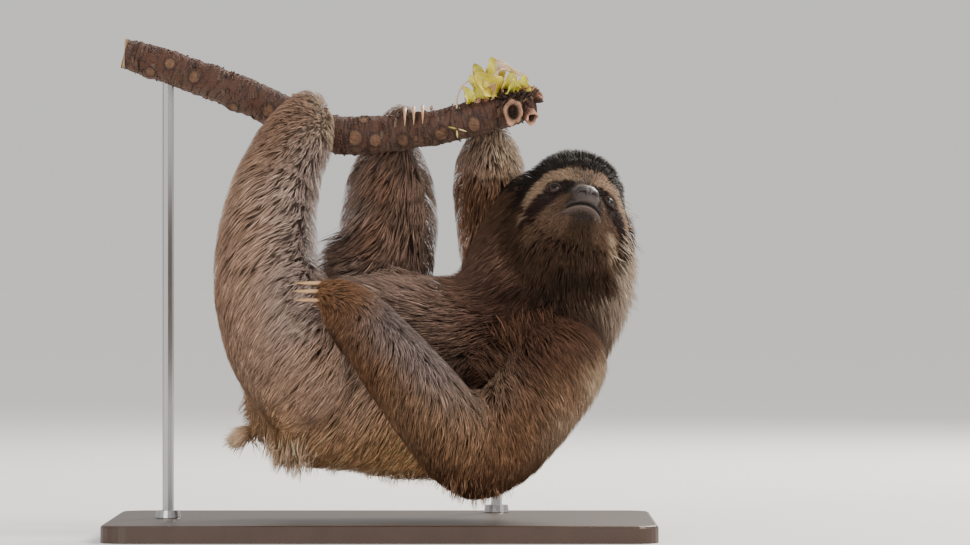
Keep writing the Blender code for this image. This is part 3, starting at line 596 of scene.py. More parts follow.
# x and z of the place, reach, angle (0 to the right, 90 up), length, stand-off, colour; the
# tail's hair is a tuft of its own, so its rows only colour the skin there
LENGTH, STAND, INK_NAME = 4, 5, 6  # columns of the list
LIE = {
    "trunk": (
        (-112, 130, 24, 245, 26, 0.10, "leg"), (-95, 95, 24, 240, 26, 0.15, "rump"),
        (-70, 68, 20, 255, 24, 0.35, "rump_low"), (-84, 62, 14, 258, 28, 0.75, "cream"),
        (-60, 110, 26, 237, 26, 0.08, "leg"), (-30, 90, 26, 238, 26, 0.08, "leg"),
        (-30, 55, 20, 256, 24, 0.20, "rump_low"), (0, 100, 22, 236, 26, 0.05, "leg"),
        (5, 60, 20, 250, 24, 0.15, "rump_low"), (-68, 51, 8, 262, 24, 0.55, "cream"),
        (-46, 46, 7, 262, 22, 0.45, "cream"), (-20, 42, 7, 262, 20, 0.35, "cream"),
        (5, 40, 7, 262, 20, 0.30, "cream"), (30, 70, 22, 250, 24, 0.10, "rump_low"),
        (-20, 150, 20, 215, 24, 0.08, "leg_grey"), (10, 170, 20, 188, 24, 0.45, "belly"),
        (35, 174, 20, 190, 24, 0.50, "belly"), (30, 150, 16, 200, 22, 0.05, "belly"),
        (60, 165, 18, 202, 24, 0.05, "belly_dark"), (52, 145, 14, 212, 24, 0.05, "belly_dark"),
        (85, 160, 18, 212, 26, 0.05, "chest"), (75, 140, 14, 222, 26, 0.05, "chest"),
        # hollow: painted shade in the armpit
        (60, 126, 10, 225, 20, 0.0, "hollow"), (100, 140, 18, 240, 26, 0.05, "chest"),
        # pale: painted sunlight on the trunk's front edge
        (128, 145, 16, 290, 28, 0.12, "chest"), (158, 138, 14, 290, 32, 0.36, "pale"),
        # orange: warm fur with painted back light on it
        (140, 105, 16, 298, 28, 0.25, "orange_and_backlit"), (120, 75, 22, 292, 24, 0.20, "arm"),
        (70, 55, 24, 265, 24, 0.20, "arm"),
    ),
    "arm_left_upper": (
        # hollow: painted shade in the armpit
        (60, 126, 9, 300, 16, 0.0, "hollow"), (72, 122, 12, 318, 22, 0.05, "arm_grey"),
        (98, 118, 14, 312, 24, 0.05, "chest"), (122, 116, 14, 304, 27, 0.20, "shoulder"),
        (102, 134, 11, 305, 26, 0.20, "chest"), (120, 137, 11, 300, 27, 0.22, "chest"),
        # pale: painted sunlight on the upper arm's front edge
        (146, 120, 8, 296, 28, 0.35, "pale"), (60, 100, 14, 272, 24, 0.05, "arm_grey"),
        (80, 92, 16, 288, 26, 0.05, "arm"), (104, 82, 18, 298, 26, 0.10, "arm"),
        (58, 70, 16, 268, 26, 0.08, "arm"), (80, 60, 16, 282, 26, 0.12, "arm"),
        (62, 42, 12, 268, 24, 0.30, "arm"), (84, 40, 12, 285, 24, 0.35, "shoulder"),
        # pale: painted sunlight on the upper arm's front edge
        (110, 60, 14, 300, 24, 0.35, "shoulder"), (130, 85, 14, 302, 26, 0.30, "pale"),
        (40, 62, 14, 255, 24, 0.20, "arm"),
    ),
    "arm_left_forearm": (
        (-28, 166, 9, 350, 9, 0.15, "hand"), (-16, 170, 9, 335, 12, 0.10, "hand"),
        (-6, 160, 9, 300, 13, 0.05, "lavender"), (-12, 150, 8, 262, 14, 0.05, "hand"),
        # hollow: painted shade in the crease between the hand and the thigh
        (-32, 143, 6, 235, 12, 0.02, "hollow"), (-24, 150, 8, 225, 12, 0.10, "hand"),
        (8, 152, 11, 285, 18, 0.02, "lavender"), (24, 140, 11, 282, 20, 0.02, "lavender"),
        (40, 126, 11, 280, 22, 0.02, "lavender"), (52, 112, 11, 278, 24, 0.02, "arm_grey"),
        (0, 132, 11, 262, 20, 0.05, "hand"), (16, 112, 12, 266, 22, 0.05, "forearm"),
        (30, 95, 12, 268, 24, 0.05, "forearm"), (45, 78, 14, 268, 25, 0.05, "forearm"),
        (20, 88, 11, 255, 22, 0.12, "forearm"), (35, 62, 12, 255, 24, 0.15, "arm"),
        (55, 50, 14, 266, 25, 0.25, "arm"), (-2, 118, 9, 245, 18, 0.15, "hand"),
    ),
    "leg_left": (
        # pale: painted sunlight on the top of the foot
        (-38, 296, 5, 205, 8, 0.25, "pale"), (-37, 284, 5, 215, 8, 0.25, "pale"),
        (-46, 292, 8, 200, 7, 0.10, "leg_dark"), (-58, 288, 9, 222, 9, 0.10, "leg_dark"),
        (-70, 272, 12, 238, 14, 0.08, "leg_dark"), (-50, 272, 9, 215, 10, 0.10, "leg_grey"),
        (-84, 245, 14, 238, 20, 0.06, "leg"), (-60, 245, 12, 216, 16, 0.22, "leg_grey"),
        (-104, 225, 12, 252, 22, 0.02, "leg_dark"), (-82, 215, 14, 226, 22, 0.04, "leg"),
        (-56, 215, 10, 202, 17, 0.50, "leg_grey"), (-112, 190, 12, 262, 24, 0.02, "leg_dark"),
        (-88, 185, 15, 234, 24, 0.04, "leg"), (-58, 185, 11, 206, 18, 0.45, "leg_grey"),
        (-108, 155, 14, 256, 25, 0.02, "leg_dark"), (-80, 150, 16, 236, 25, 0.04, "leg"),
        (-52, 155, 12, 210, 20, 0.15, "leg_grey"), (-100, 120, 16, 246, 26, 0.10, "leg"),
        (-65, 110, 18, 237, 26, 0.04, "leg"), (-40, 125, 14, 222, 24, 0.04, "leg"),
        (-80, 80, 16, 246, 26, 0.20, "rump_low"),
    ),
    "leg_right": (
        (14, 296, 9, 262, 7, 0.10, "far"), (-10, 272, 9, 232, 13, 0.15, "far"),
        (8, 276, 9, 258, 12, 0.08, "far_dark"), (-20, 240, 12, 228, 18, 0.40, "leg_grey"),
        (-4, 248, 10, 240, 18, 0.05, "far_red"), (12, 240, 10, 256, 19, 0.04, "far_dark"),
        (28, 235, 12, 268, 20, 0.04, "far"), (-26, 205, 11, 216, 20, 0.35, "leg_grey"),
        (-8, 212, 11, 226, 22, 0.04, "far_red"), (7, 216, 5, 262, 20, 0.10, "leg"),
        (10, 192, 12, 240, 22, 0.04, "far"), (18, 214, 9, 262, 22, 0.04, "far_dark"),
        (30, 195, 12, 268, 22, 0.03, "far_dark"), (-40, 150, 22, 246, 24, 0.05, "leg"),
        (0, 160, 20, 225, 24, 0.05, "leg_grey"),
    ),
    "arm_right": (
        (72, 296, 9, 268, 7, 0.10, "leg_dark"), (66, 275, 11, 262, 12, 0.10, "far"),
        # pale: painted sunlight on the far arm near its hand
        (84, 275, 10, 282, 12, 0.12, "pale"), (60, 240, 12, 262, 18, 0.08, "far_brown"),
        # the far arm's pale tan here is painted light where it lies in shade
        (88, 245, 11, 284, 18, 0.12, "far_brown"), (60, 205, 14, 262, 22, 0.05, "arm_painted_light"),
        (90, 205, 14, 280, 22, 0.05, "arm_painted_light"), (85, 165, 20, 240, 24, 0.05, "chest"),
    ),
    "tail": (
        (-76, 88, 9, 232, 20, 0.15, "rump"), (-88, 78, 9, 224, 24, 0.22, "cream"),
        (-98, 70, 9, 218, 26, 0.30, "cream"), (-78, 68, 9, 240, 24, 0.30, "cream"),
    ),
    "neck": (
        (85, 195, 14, 220, 24, 0.20, "belly_dark"), (92, 178, 14, 216, 24, 0.05, "chest"),
        # throat_shadow here is painted shadow under the chin
        (105, 162, 14, 240, 28, 0.20, "throat_shadow"), (125, 158, 14, 282, 30, 0.25, "throat_shadow"),
        (140, 162, 12, 290, 30, 0.25, "throat_shadow"), (152, 172, 12, 282, 30, 0.25, "mane"),
        # mane_pale_and_sunlit: paler hair with painted sunlight on it
        (166, 170, 8, 284, 32, 0.36, "mane_pale_and_sunlit"), (166, 190, 10, 280, 32, 0.38, "mane_pale_and_sunlit"),
        (162, 215, 12, 275, 30, 0.34, "mane_pale_and_sunlit"), (120, 230, 20, 250, 24, 0.10, "throat"),
        (95, 215, 12, 232, 22, 0.10, "throat"),
    ),
}


def shares(points, rows):
    """How much each listed place counts at every point, as seen from the side."""
    table = np.array([row[:3] for row in rows], float)
    return bell_shares(points[:, (0, 2)] / MM, table[:, :2], table[:, 2], 1e-9)


def listed(points, rows, column):
    """A column of the list, blended to every point."""
    return shares(points, rows) @ np.array([row[column] for row in rows], float)


def along_surface(aim, outward):
    """A direction laid flat on the surface: less its share along the outward direction."""
    return unit(aim - outward * np.sum(aim * outward, axis=1, keepdims=True))


def lie_of(rows):
    """The direction of the hair on one part: the blended angle, laid flat on the surface."""
    angles = np.radians([row[3] for row in rows])
    ways = together(np.cos(angles), 0, np.sin(angles))

    def lie(points, outward):
        """A little towards the near side and down, as the coat hangs round the limb."""
        return along_surface(unit(shares(points, rows) @ ways) + (-0.12, 0, -0.04), outward)

    return lie


print("places listed:", sum(len(rows) for rows in LIE.values()))

# %% [markdown]
# The face has sharper markings than the body: a dark crown, a pale band over the brows, a
# dark patch running down and out from each eye, a grey muzzle and a dark chin. They are
# painted like make-up, as soft strokes one over another, the same on both sides, and a dim
# stroke paints shade on the middle of the brow band. On the left only, a pale streak low on
# the cheek is painted sunlight, a pale lock of the mane is paler hair with painted sunlight
# on it, and a dark gap beside that lock is painted shade.

# %% The face's markings
INK = {
    # dim is painted shade on the middle of the brow band, under the crown's hair
    "crown": colour(24, 17, 14), "brow": colour(141, 118, 97), "brow_shade": colour(92, 76, 66),
    "patch": colour(38, 24, 20), "muzzle": colour(54, 43, 39), "bridge": colour(98, 84, 76),
    "lip": colour(76, 62, 55), "cheek": colour(92, 71, 56), "chin": colour(64, 47, 34),
    # speckle is painted sunlight for the streak low on the left cheek
    "sunlit_speckle": colour(176, 154, 130), "rim": colour(54, 34, 27), "ruff": colour(68, 49, 37),
}
# ink, softness, then the stroke's points: side, up, half-width, in millimetres
STROKES = (
    ("cheek", 6, ((0, -14, 16), (18, -14, 12), (26, -24, 10))),
    ("chin", 6, ((0, -24, 9), (0, -34, 11))),
    ("brow", 2.6, (
        (0, 17.6, 4.8), (12, 17.6, 4.8), (22, 14.4, 4.2), (28.5, 8.0, 3.6),
        (32, 0, 2.8), (35, -9, 1.9), (37, -17, 1.0),
    )),
    # painted shade on the middle of the brow band
    ("brow_shade", 9, ((0, 18.5, 3.5), (6, 19.0, 2.5))),
    ("patch", 2.0, (
        (11, 9.0, 1.6), (16, 6.5, 3.8), (20, 4.2, 5.4), (24, -4, 5.0), (29, -12, 4), (36, -20, 2.4),
    )),
    ("bridge", 6, ((0, 11, 5), (0, 4, 8.5))),
    ("muzzle", 4, ((0, 1, 9.5), (0, -8, 13))),
    ("lip", 2.0, ((0, -13.6, 2.2), (8, -14.6, 2.0), (13, -16, 1.2))),
)


def stroke_share(side, up, softness, path):
    """1 under a stroke and 0 away from it: the distance to its line, less its half-width there."""
    best = np.full(len(side), np.inf)
    for (s0, u0, w0), (s1, u1, w1) in zip(path, path[1:]):
        ds, du = s1 - s0, u1 - u0
        t = np.clip(((side - s0) * ds + (up - u0) * du) / (ds * ds + du * du), 0, 1)
        gap = np.hypot(side - s0 - t * ds, up - u0 - t * du)
        best = np.minimum(best, gap - (w0 + t * (w1 - w0)))
    return smooth_step(best, softness / 2, -softness / 2)[:, None]


def head_colour(points):
    """The painted markings at world points on the head, among them painted sunlight and shade."""
    local = to_head(points) / MM
    left, up, forward = local.T
    side = np.abs(left) + 0.8 * noise(points, 5 * MM, 3)
    up = up + 0.9 * noise(points, 4 * MM, 4)
    top = smooth_step(up + 0.12 * side, -4, 6)[:, None]
    nape = (smooth_step(forward + 0.5 * up, 8, -16) * smooth_step(up, -12, 2))[:, None]
    back = between(between(INK["ruff"], INK["crown"], top), COLOURS["mane"], nape)
    front = back
    for ink, softness, path in STROKES:
        front = between(front, INK[ink], stroke_share(side, up, softness, path))
    face = smooth_step(forward, 2, 10)[:, None]
    shade = between(back, front, face)
    # painted sunlight: a pale speckled streak low on the left cheek
    lit = stroke_share(left, up, 5, ((22, -20, 2.5), (30, -27, 3.5))) * face
    # painted shade: a dark gap beside the pale lock of the mane
    gap = smooth_step(left, 34, 37) * smooth_step(up, 20, 10) * smooth_step(forward, 22, 15)
    # the pale lock of the mane on the left: paler hair with painted sunlight on it
    outer = smooth_step(left, 33, 37) * smooth_step(up, 14, 2)
    outer = outer * smooth_step(forward, 9, 3) * smooth_step(forward, -26, -12)
    shade = between(shade, INK["sunlit_speckle"], 0.8 * lit)
    shade = between(shade, INK["crown"], gap[:, None])
    shade = between(shade, COLOURS["mane_pale_and_sunlit"], outer[:, None])
    for centre in EYES.values():
        ring = np.linalg.norm(to_head(points) - centre, axis=1) / MM
        shade = between(shade, INK["rim"], 0.5 * smooth_step(ring, 7.0, 5.6)[:, None])
    return shade


CHIN_SHADOW_DEPTH = 0.55  # how much darker the painted shadow under the chin is
EVENNESS = 0.7  # the share of one even colour in what faces the far side


def body_colour(points, rows):
    """The colours of the rows, blended to every point; what faces the far side is more even."""
    blend = shares(points, rows) @ np.array([COLOURS[row[INK_NAME]] for row in rows])
    far = smooth_step(body_outward(points)[:, 1:2], 0.15, 0.75)
    return between(blend, COLOURS["back"], EVENNESS * far)


def painted_chin_shadow(points):
    """A painted shadow under the chin, where the hair of the throat and the chest meet."""
    x, y, z = points.T / MM
    band = bell(z - 0.06 * (x - 118), 181, 6.0) * smooth_step(y, 0, -20)
    return (1 - CHIN_SHADOW_DEPTH * band * smooth_step(x, 84, 104) * smooth_step(x, 164, 148))[:, None]


print("strokes:", len(STROKES))

# %% [markdown]
# A lock starts on the skin, rises through the coat, and then lies along the outer form in
# the direction of the comb. It is walked in a few steps: forward along the lie, then back
# down to the form. Neighbouring locks are drawn towards a shared guide, so that their tips
# gather as real fur does, and each has a little wave of its own.

# %% Walking the locks
rng = np.random.default_rng(7)
ON_OUTSIDE = 4.5 * MM  # a root farther from the form lies on a face inside the body
STEPS = 3  # of each lock's path
SWERVE = 0.13  # how far single locks turn from the lie
PALE_SHARE, PALE_TONE, USUAL_TONE = 0.13, 1.5, 0.97


def scatter(nodes_used, wanted, keep):
    """Random places on the outer faces of some nodes, as many as wanted, thinned by keep."""
    points = np.vstack([flesh[node][0][flesh[node][1]] for node in nodes_used])
    edge_a, edge_b = points[:, 1] - points[:, 0], points[:, 2] - points[:, 0]
    area = np.linalg.norm(np.cross(edge_a, edge_b), axis=1)
    found = np.zeros((0, 3))
    while len(found) < wanted:
        pick = rng.choice(len(area), size=wanted * 2, p=area / area.sum())
        a, b = rng.random((2, len(pick), 1))
        a, b = np.where(a + b > 1, 1 - a, a), np.where(a + b > 1, 1 - b, b)
        place = points[pick, 0] + a * edge_a[pick] + b * edge_b[pick]
        place = place[np.abs(body_height(place)) < ON_OUTSIDE]
        found = np.vstack([found, place[rng.random(len(place)) < keep(place)]])
    return found[:wanted]


def walk(roots, length, stand, lie, height, outward):
    """Paths of the locks on the form, (locks, STEPS + 1, 3), and the outward directions there."""
    here = roots - outward(roots) * height(roots)[:, None]
    path, outs = [here], [outward(here)]
    swerve = rng.normal(0, SWERVE, (len(roots), 1))
    for _ in range(STEPS):
        out = outs[-1]
        way = lie(here, out)
        way = unit(way + swerve * np.cross(out, way))
        ahead = here + way * (length / STEPS)[:, None]
        settled = ahead - outward(ahead) * height(ahead)[:, None]
        here = between(settled, ahead, stand[:, None])
        path.append(here)
        outs.append(unit(outward(here)))
    return np.stack(path, axis=1), np.stack(outs, axis=1)


def gather(path, guides, pull):
    """Draws each lock towards the nearest guide lock, more and more towards its tip."""
    chosen = rng.choice(len(path), size=guides, replace=False)
    gaps = ((path[:, 0, None] - path[None, chosen, 0]) ** 2).sum(axis=-1)
    guide = path[chosen[gaps.argmin(axis=1)]]
    share = pull * np.linspace(0, 1, path.shape[1])[None, :, None] ** 1.5
    offset = (path[:, :1] - guide[:, :1]) * (1 - share)
    return between(path, guide + 0.35 * offset, share)


def uneven(count, spread):
    """Tones of single locks: mostly near 1, a few much paler."""
    tone = np.exp(rng.normal(0, spread, count))
    return tone * np.where(rng.random(count) < PALE_SHARE, PALE_TONE, USUAL_TONE)


# %% [markdown]
# Each lock is a slim solid: a flattened three-cornered tube that tapers to a point and is
# closed at its root. Many thousand share one mesh. Every point keeps its lock's colour,
# darker at the root, and a map named OFBake gives each lock a patch of its own at the place
# of its root on an unwrap of that part of the body.

# %% The locks' mesh
WIDTHS = (0.62, 1.0, 0.72)  # of the three rings, as shares of half a lock's width
SHADES = (0.50, 0.88, 1.06, 1.18)  # from root to tip
PATCH = 0.003  # the width of one lock's patch on the map
MAP_EDGE = 0.004  # left free round the map
CORNERS = np.arange(3)  # of a ring; the next corner of each is NEXT
NEXT = (CORNERS + 1) % 3


def lock_mesh(name, path, outs, width, tint, unwrapped):
    """Three-cornered tubes along the paths, as one piece of the coat; width is half of theirs."""
    count, rings = len(path), path.shape[1] - 1
    along = unit(np.gradient(path, axis=1))
    across = unit(np.cross(along, outs))
    raised = np.cross(across, along)
    wide = width[:, None, None] * np.array(WIDTHS)[None, :, None]
    side, ridge = across[:, :rings] * wide, raised[:, :rings] * wide * 0.5
    centre = path[:, :rings]
    corners = np.stack([centre + side, centre + ridge, centre - side], axis=2)
    points = np.concatenate([corners.reshape(count, -1, 3), path[:, -1:]], axis=1)
    stride = rings * 3 + 1  # points of a lock, the last one its tip

    ring = 3 * np.arange(rings - 1)[:, None]
    quads = together(ring + CORNERS, ring + 3 + CORNERS, ring + 3 + NEXT, ring + NEXT)
    top = 3 * (rings - 1)
    tip = together(top + CORNERS, stride - 1, top + NEXT)
    triangles = np.vstack([tip, [(0, 1, 2)]])
    first = (np.arange(count) * stride)[:, None, None]
    obj = new_object(
        name,
        points.reshape(-1, 3),
        (quads.reshape(-1, 4) + first).reshape(-1, 4),
        (triangles + first).reshape(-1, 3),
    )
    step = np.append(np.repeat(np.arange(rings), 3), rings)
    paint(obj, (tint[:, None] * np.array(SHADES)[step][None, :, None]).reshape(-1, 3))
    place = together(np.append(np.tile((-0.5, 0.0, 0.5), rings), 0.0), step / rings - 0.5)
    flat = (unwrapped[:, None] + PATCH * place[None]).reshape(-1, 2).astype(np.float32)
    corner_points = np.empty(len(obj.data.loops), np.int32)
    obj.data.loops.foreach_get("vertex_index", corner_points)
    uv = obj.data.uv_layers.new(name="OFBake")
    uv.data.foreach_set("uv", flat[corner_points].ravel())
    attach(obj, "root")
    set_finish(obj, "coat")
    return obj


def on_map(turn, along):
    """Places on the map of two shares from 0 to 1, clear of the map's edge."""
    return MAP_EDGE + (1 - 2 * MAP_EDGE) * together(turn, along)


def unwrap(points, start, end):
    """A part of the body unrolled: the turn round its axis, and how far along it."""
    start, end = np.array(start) * MM, np.array(end) * MM
    axis = unit(end - start)
    side = unit(np.cross(axis, (0.3, 1.0, 0.2)))
    offset = points - start
    turn = np.arctan2(offset @ np.cross(axis, side), offset @ side) / (2 * np.pi) + 0.5
    along = offset @ axis
    return on_map(turn, (along - along.min()) / (along.max() - along.min()))


print("a lock has", 2 * 3 * (STEPS - 1) + 3 + 1, "triangles")

# %% [markdown]
# Now the body's coat is grown part by part. The lists give each lock its length, its
# stand-off and its colour. Short-haired places get more locks, because each covers less.

# %% The body's coat
TRUNK_AXIS = ((-90, 0, 100), (125, 0, 140))
# part of the list, nodes, which side of the middle, axis of its unwrap, locks
COATS = {
    "coat_trunk_left": ("trunk", ("trunk",), -1, TRUNK_AXIS, 8200),
    "coat_trunk_right": ("trunk", ("trunk",), 1, TRUNK_AXIS, 4700),
    "coat_neck": ("neck", ("neck",), 0, ((100, 0, 140), (124, -8, 220)), 7000),
    "coat_arm_left_upper": (
        "arm_left_upper", ("arm_left_upper",), 0, ((117, -40, 118), (59, -76, 62)), 9200,
    ),
    "coat_arm_left_forearm": (
        "arm_left_forearm", ("arm_left_forearm", "hand_left"), 0,
        ((59, -76, 62), (-38, -101, 170)), 11200,
    ),
    "coat_arm_right": (
        "arm_right", ("arm_right_upper", "arm_right_forearm", "hand_right"), 0,
        ((95, 42, 140), (72, 15, 297)), 5900,
    ),
    "coat_leg_left_thigh": (
        "leg_left", ("leg_left_thigh",), 0, ((-58, -42, 115), (-78, -48, 190)), 8600,
    ),
    "coat_leg_left_shank": (
        "leg_left", ("leg_left_shank", "foot_left"), 0, ((-78, -48, 190), (-52, -12, 294)), 9400,
    ),
    "coat_leg_right": (
        "leg_right", ("leg_right_thigh", "leg_right_shank", "foot_right"), 0,
        ((-30, 40, 136), (11, 15, 296)), 6800,
    ),
}
STRAY = 0.035  # the share of locks that stand off and are thinner
COAT_GATHER, LOCKS_TO_A_GUIDE = 0.52, 11
FULL_LENGTH = 11  # millimetres; shorter hair is planted more closely


def lock_width(usual, thin, thick, low, high):
    """Half the widths of single locks: more for longer ones, and each a bit different."""
    return (thin + thick * usual / MM) * MM * rng.uniform(low, high, len(usual))


def lying(path, outs, height):
    """The paths raised by a height at each of their points."""
    return path + outs * height[..., None]


def sunk(depth, t, power):
    """From below the skin at the root up to the form: a curve that rises fast and flattens."""
    return -depth[:, None] * (1 - t) ** power


def grow_body(name, part, nodes_used, side, axis, locks):
    """One piece of the body's coat."""
    rows = LIE[part]

    def keep(points):
        """Short-haired places keep more roots; a piece for one side keeps only that side's."""
        thin = np.clip((FULL_LENGTH / listed(points, rows, LENGTH)) ** 1.3, 0.1, 1)
        return np.where(side * points[:, 1] >= 0, thin, 0)

    roots = scatter(nodes_used, locks, keep)
    usual = listed(roots, rows, LENGTH) * MM
    length = usual * rng.uniform(0.62, 1.2, locks)
    stray = rng.random(locks) < STRAY
    listed_stand = listed(roots, rows, STAND)
    stand = np.clip(listed_stand * rng.uniform(0.3, 1.7, locks) + 0.3 * stray, 0, 0.9)
    path, outs = walk(roots, length, stand, lie_of(rows), body_height, body_outward)
    path = gather(path, locks // LOCKS_TO_A_GUIDE, COAT_GATHER)
    t = np.linspace(0, 1, STEPS + 1)
    depth = coat_depth(roots)
    layer = rng.uniform(0, 0.34, locks) * np.clip(usual, 0, 0.6 * depth)
    height = sunk(depth + 0.6 * MM, t, 2.6) - layer[:, None] * np.sin(np.pi * t) ** 0.5
    lift = 0.45 * listed_stand * length + np.where(stray, 1.6, 0.3) * MM * rng.random(locks)
    height = height + lift[:, None] * t**1.6
    wave = 0.020 * length[:, None] * np.sin(2 * np.pi * (t * 1.2 + rng.random((locks, 1))))
    across = np.cross(unit(np.gradient(path, axis=1)), outs)
    path = lying(path, outs, height) + across * (wave * t)[..., None]
    width = lock_width(usual, 0.16, 0.0090, 0.75, 1.3) * np.where(stray, 0.6, 1)
    tone = uneven(locks, 0.25) * (1 + 0.18 * noise(roots, 9 * MM, 2))
    # the painted shadow under the chin darkens the tint there
    tint = painted_chin_shadow(roots) * body_colour(roots, rows) * tone[:, None]
    return lock_mesh(name, path, outs, width, tint, unwrap(roots, *axis))


coat_pieces = [grow_body(name, *spec) for name, spec in COATS.items()]
print("body coat:", sum(len(piece.data.polygons) for piece in coat_pieces), "faces")

# %% [markdown]
# Some hair doesn't lie down at all: the tail is a stubby brush, pale hair hangs in a fringe
# below it, wisps hang from the belly and the elbow, a pale mane falls behind the cheek, and
# loose hair fills the breast, the hollow of the arm and both groins. These locks leave the
# skin along one direction, spread a little, and droop. Each tuft has its nodes, place, reach
# and direction.

# %% Hanging tufts
# nodes, x and z of the middle, reach in x and z, direction, spread, droop, length, locks, colour
TUFTS = {
    "coat_tail": (
        ("tail",), (-88, 80), (40, 40), (-0.90, -0.10, -0.36),
        0.46, 0.15, 14, 1200, "pink",
    ),
    "coat_rump_edge": (
        ("trunk", "tail"), (-92, 80), (5, 14), (-0.55, -0.15, -0.80),
        0.34, 0.15, 9, 300, "rump",
    ),
    "coat_fringe": (
        ("trunk", "tail"), (-68, 60), (14, 7), (0.16, -0.15, -0.95),
        0.46, 0.10, 13, 700, "pink",
    ),
    "coat_belly_wisps": (
        ("trunk",), (-15, 42), (40, 4), (-0.20, -0.10, -0.60),
        0.40, 0.10, 6.5, 240, "cream",
    ),
    "coat_breast": (
        ("trunk", "neck"), (104, 152), (17, 6), (0.30, -0.55, -0.75),
        0.26, 0.20, 27, 900, "breast_dark",
    ),
    "coat_hollow": (
        ("trunk",), (76, 128), (12, 7), (0.66, -0.42, -0.62),
        0.30, 0.15, 20, 520, "breast",
    ),
    # the mane's pale hair carries painted sunlight
    "coat_mane": (
        ("head", "neck"), (169, 200), (3.5, 26), (0.36, 0.10, -0.92),
        0.28, 0.15, 14, 520, "mane_pale_and_sunlit",
    ),
    "coat_groin_left": (
        ("leg_left_thigh", "trunk"), (-44, 186), (4, 11), (0.32, 0.05, -0.92),
        0.24, 0.05, 15, 560, "leg_grey",
    ),
    "coat_groin_right": (
        ("leg_right_thigh", "leg_right_shank"), (-31, 192), (5, 15), (-0.75, -0.25, -0.60),
        0.26, 0.10, 16, 640, "far",
    ),
    "coat_elbow_wisps": (
        ("arm_left_upper", "arm_left_forearm"), (58, 36), (22, 6), (-0.10, -0.1, -0.9),
        0.36, 0.15, 9, 320, "shoulder",
    ),
}


def grow_tuft(name, nodes_used, middle, reach, way, spread, droop, usual, locks, ink):
    """A brush of locks that stand off in one direction and hang a little."""

    def keep(points):
        """Most at the middle, fading out at the reach."""
        gap = (points[:, (0, 2)] / MM - middle) / reach
        return np.exp(-0.5 * (gap**2).sum(axis=1) ** 1.5)

    roots = scatter(nodes_used, locks, keep)
    outward = body_outward(roots)
    length = usual * MM * rng.uniform(0.45, 1.25, locks)
    aim = unit(np.array(way) + 0.35 * outward + rng.normal(0, spread, (locks, 3)) * 0.6)
    t = np.linspace(0, 1, STEPS + 1)[None, :, None]
    path = roots[:, None] + aim[:, None] * t * length[:, None, None]
    path = path + np.array((0, 0, -droop)) * t**2 * length[:, None, None]
    under = (0.5 * coat_depth(roots) + 0.5 * MM)[:, None, None]
    path = gather(path - outward[:, None] * under * (1 - t) ** 2, locks // 12, 0.7)
    along = np.gradient(path, axis=1)
    outs = unit(np.cross(np.cross(along, outward[:, None]), along))
    width = lock_width(np.full(locks, usual * MM), 0.16, 0.0085, 0.7, 1.3)
    tint = COLOURS[ink] * uneven(locks, 0.22)[:, None]
    return lock_mesh(name, path, -outs, width, tint, unwrap(roots, *TRUNK_AXIS))


coat_pieces += [grow_tuft(name, *spec) for name, spec in TUFTS.items()]
print("tufts:", len(TUFTS))

# %% [markdown]
# The head's hair is combed away from the nose, and droops more the farther back it grows.
# The face carries short fine hair over its own close form, and none on the muzzle, the lips
# or inside the lids. The crown, the cheeks' ruff and the mane are longer and merge with the neck.

# %% The head's coat
NOSE_TIP = on_head(np.array((0, 0, 38)) * MM)
FACE_WIDE, FACE_TALL = 38, 32  # millimetres; the face's edge is an ellipse of these half-axes
FACE_GATHER, FACE_LOCKS_TO_A_GUIDE = 0.45, 10


def face_height(points):
    """How far above the head's masses points are."""
    return head_height(to_head(points))


def face_outward(points):
    """The slope of the head's height, from small steps along each axis."""
    local, step = to_head(points), 0.2 * MM
    slope = [
        head_height(local + step * axis) - head_height(local - step * axis) for axis in np.eye(3)
    ]
    return unit(np.stack(slope, axis=-1)) @ HEAD_AXES


def head_lie(points, outward):
    """Away from the nose, with a droop that grows towards the back."""
    from_nose = points - NOSE_TIP
    droop = smooth_step(np.linalg.norm(from_nose, axis=1), 38 * MM, 78 * MM)[:, None]
    return along_surface(unit(from_nose) + droop * np.array((0, 0, -1.1)), outward)


def on_face(points):
    """1 on the short-haired face, 0 on the crown, ruff and back of the head."""
    side, up, forward = to_head(points).T / MM
    edge = np.hypot(side / FACE_WIDE, up / FACE_TALL)
    return smooth_step(edge, 1.02, 0.96) * (forward > 0)


def eye_opening(local):
    """1 inside either pair of lids."""
    inside = np.zeros(len(local))
    for centre in EYES.values():
        along, across, _ = eye_frame(centre)
        offset = local - centre
        almond = np.hypot(offset @ along / (1.25 * LID_WIDE), offset @ across / (1.45 * LID_TALL))
        inside = np.maximum(inside, (almond < 1) * (local[:, 2] > 0))
    return inside


def spherical(points):
    """The head unwrapped as a globe."""
    side, up, forward = unit(to_head(points)).T
    turn = np.arctan2(side, forward) / (2 * np.pi) + 0.5
    return on_map(turn, np.arcsin(np.clip(up, -1, 1)) / np.pi + 0.5)


def face_length(local, edge):
    """The usual length on the face: longer towards its edge and the throat, shorter by the eyes."""
    usual = 1.9 + 4.3 * smooth_step(edge, 0.35, 1.0) + 1.5 * smooth_step(-local[:, 1], 16, 30)
    eyes = np.array(list(EYES.values())) / MM
    return usual * (1 - 0.45 * smooth_step(nearest(local, eyes)[0], 11, 7)) * MM


def crown_length(local, edge):
    """The usual length off the face: longest at the back and over the crown, less at the throat."""
    usual = 12 + 10 * smooth_step(edge, 0.95, 1.35) * smooth_step(local[:, 2], 20, -5)
    usual = usual + 4 * smooth_step(local[:, 1], 10, 26)
    return (usual - 3 * smooth_step(-local[:, 1], 12, 24) * smooth_step(local[:, 2], -20, 0)) * MM


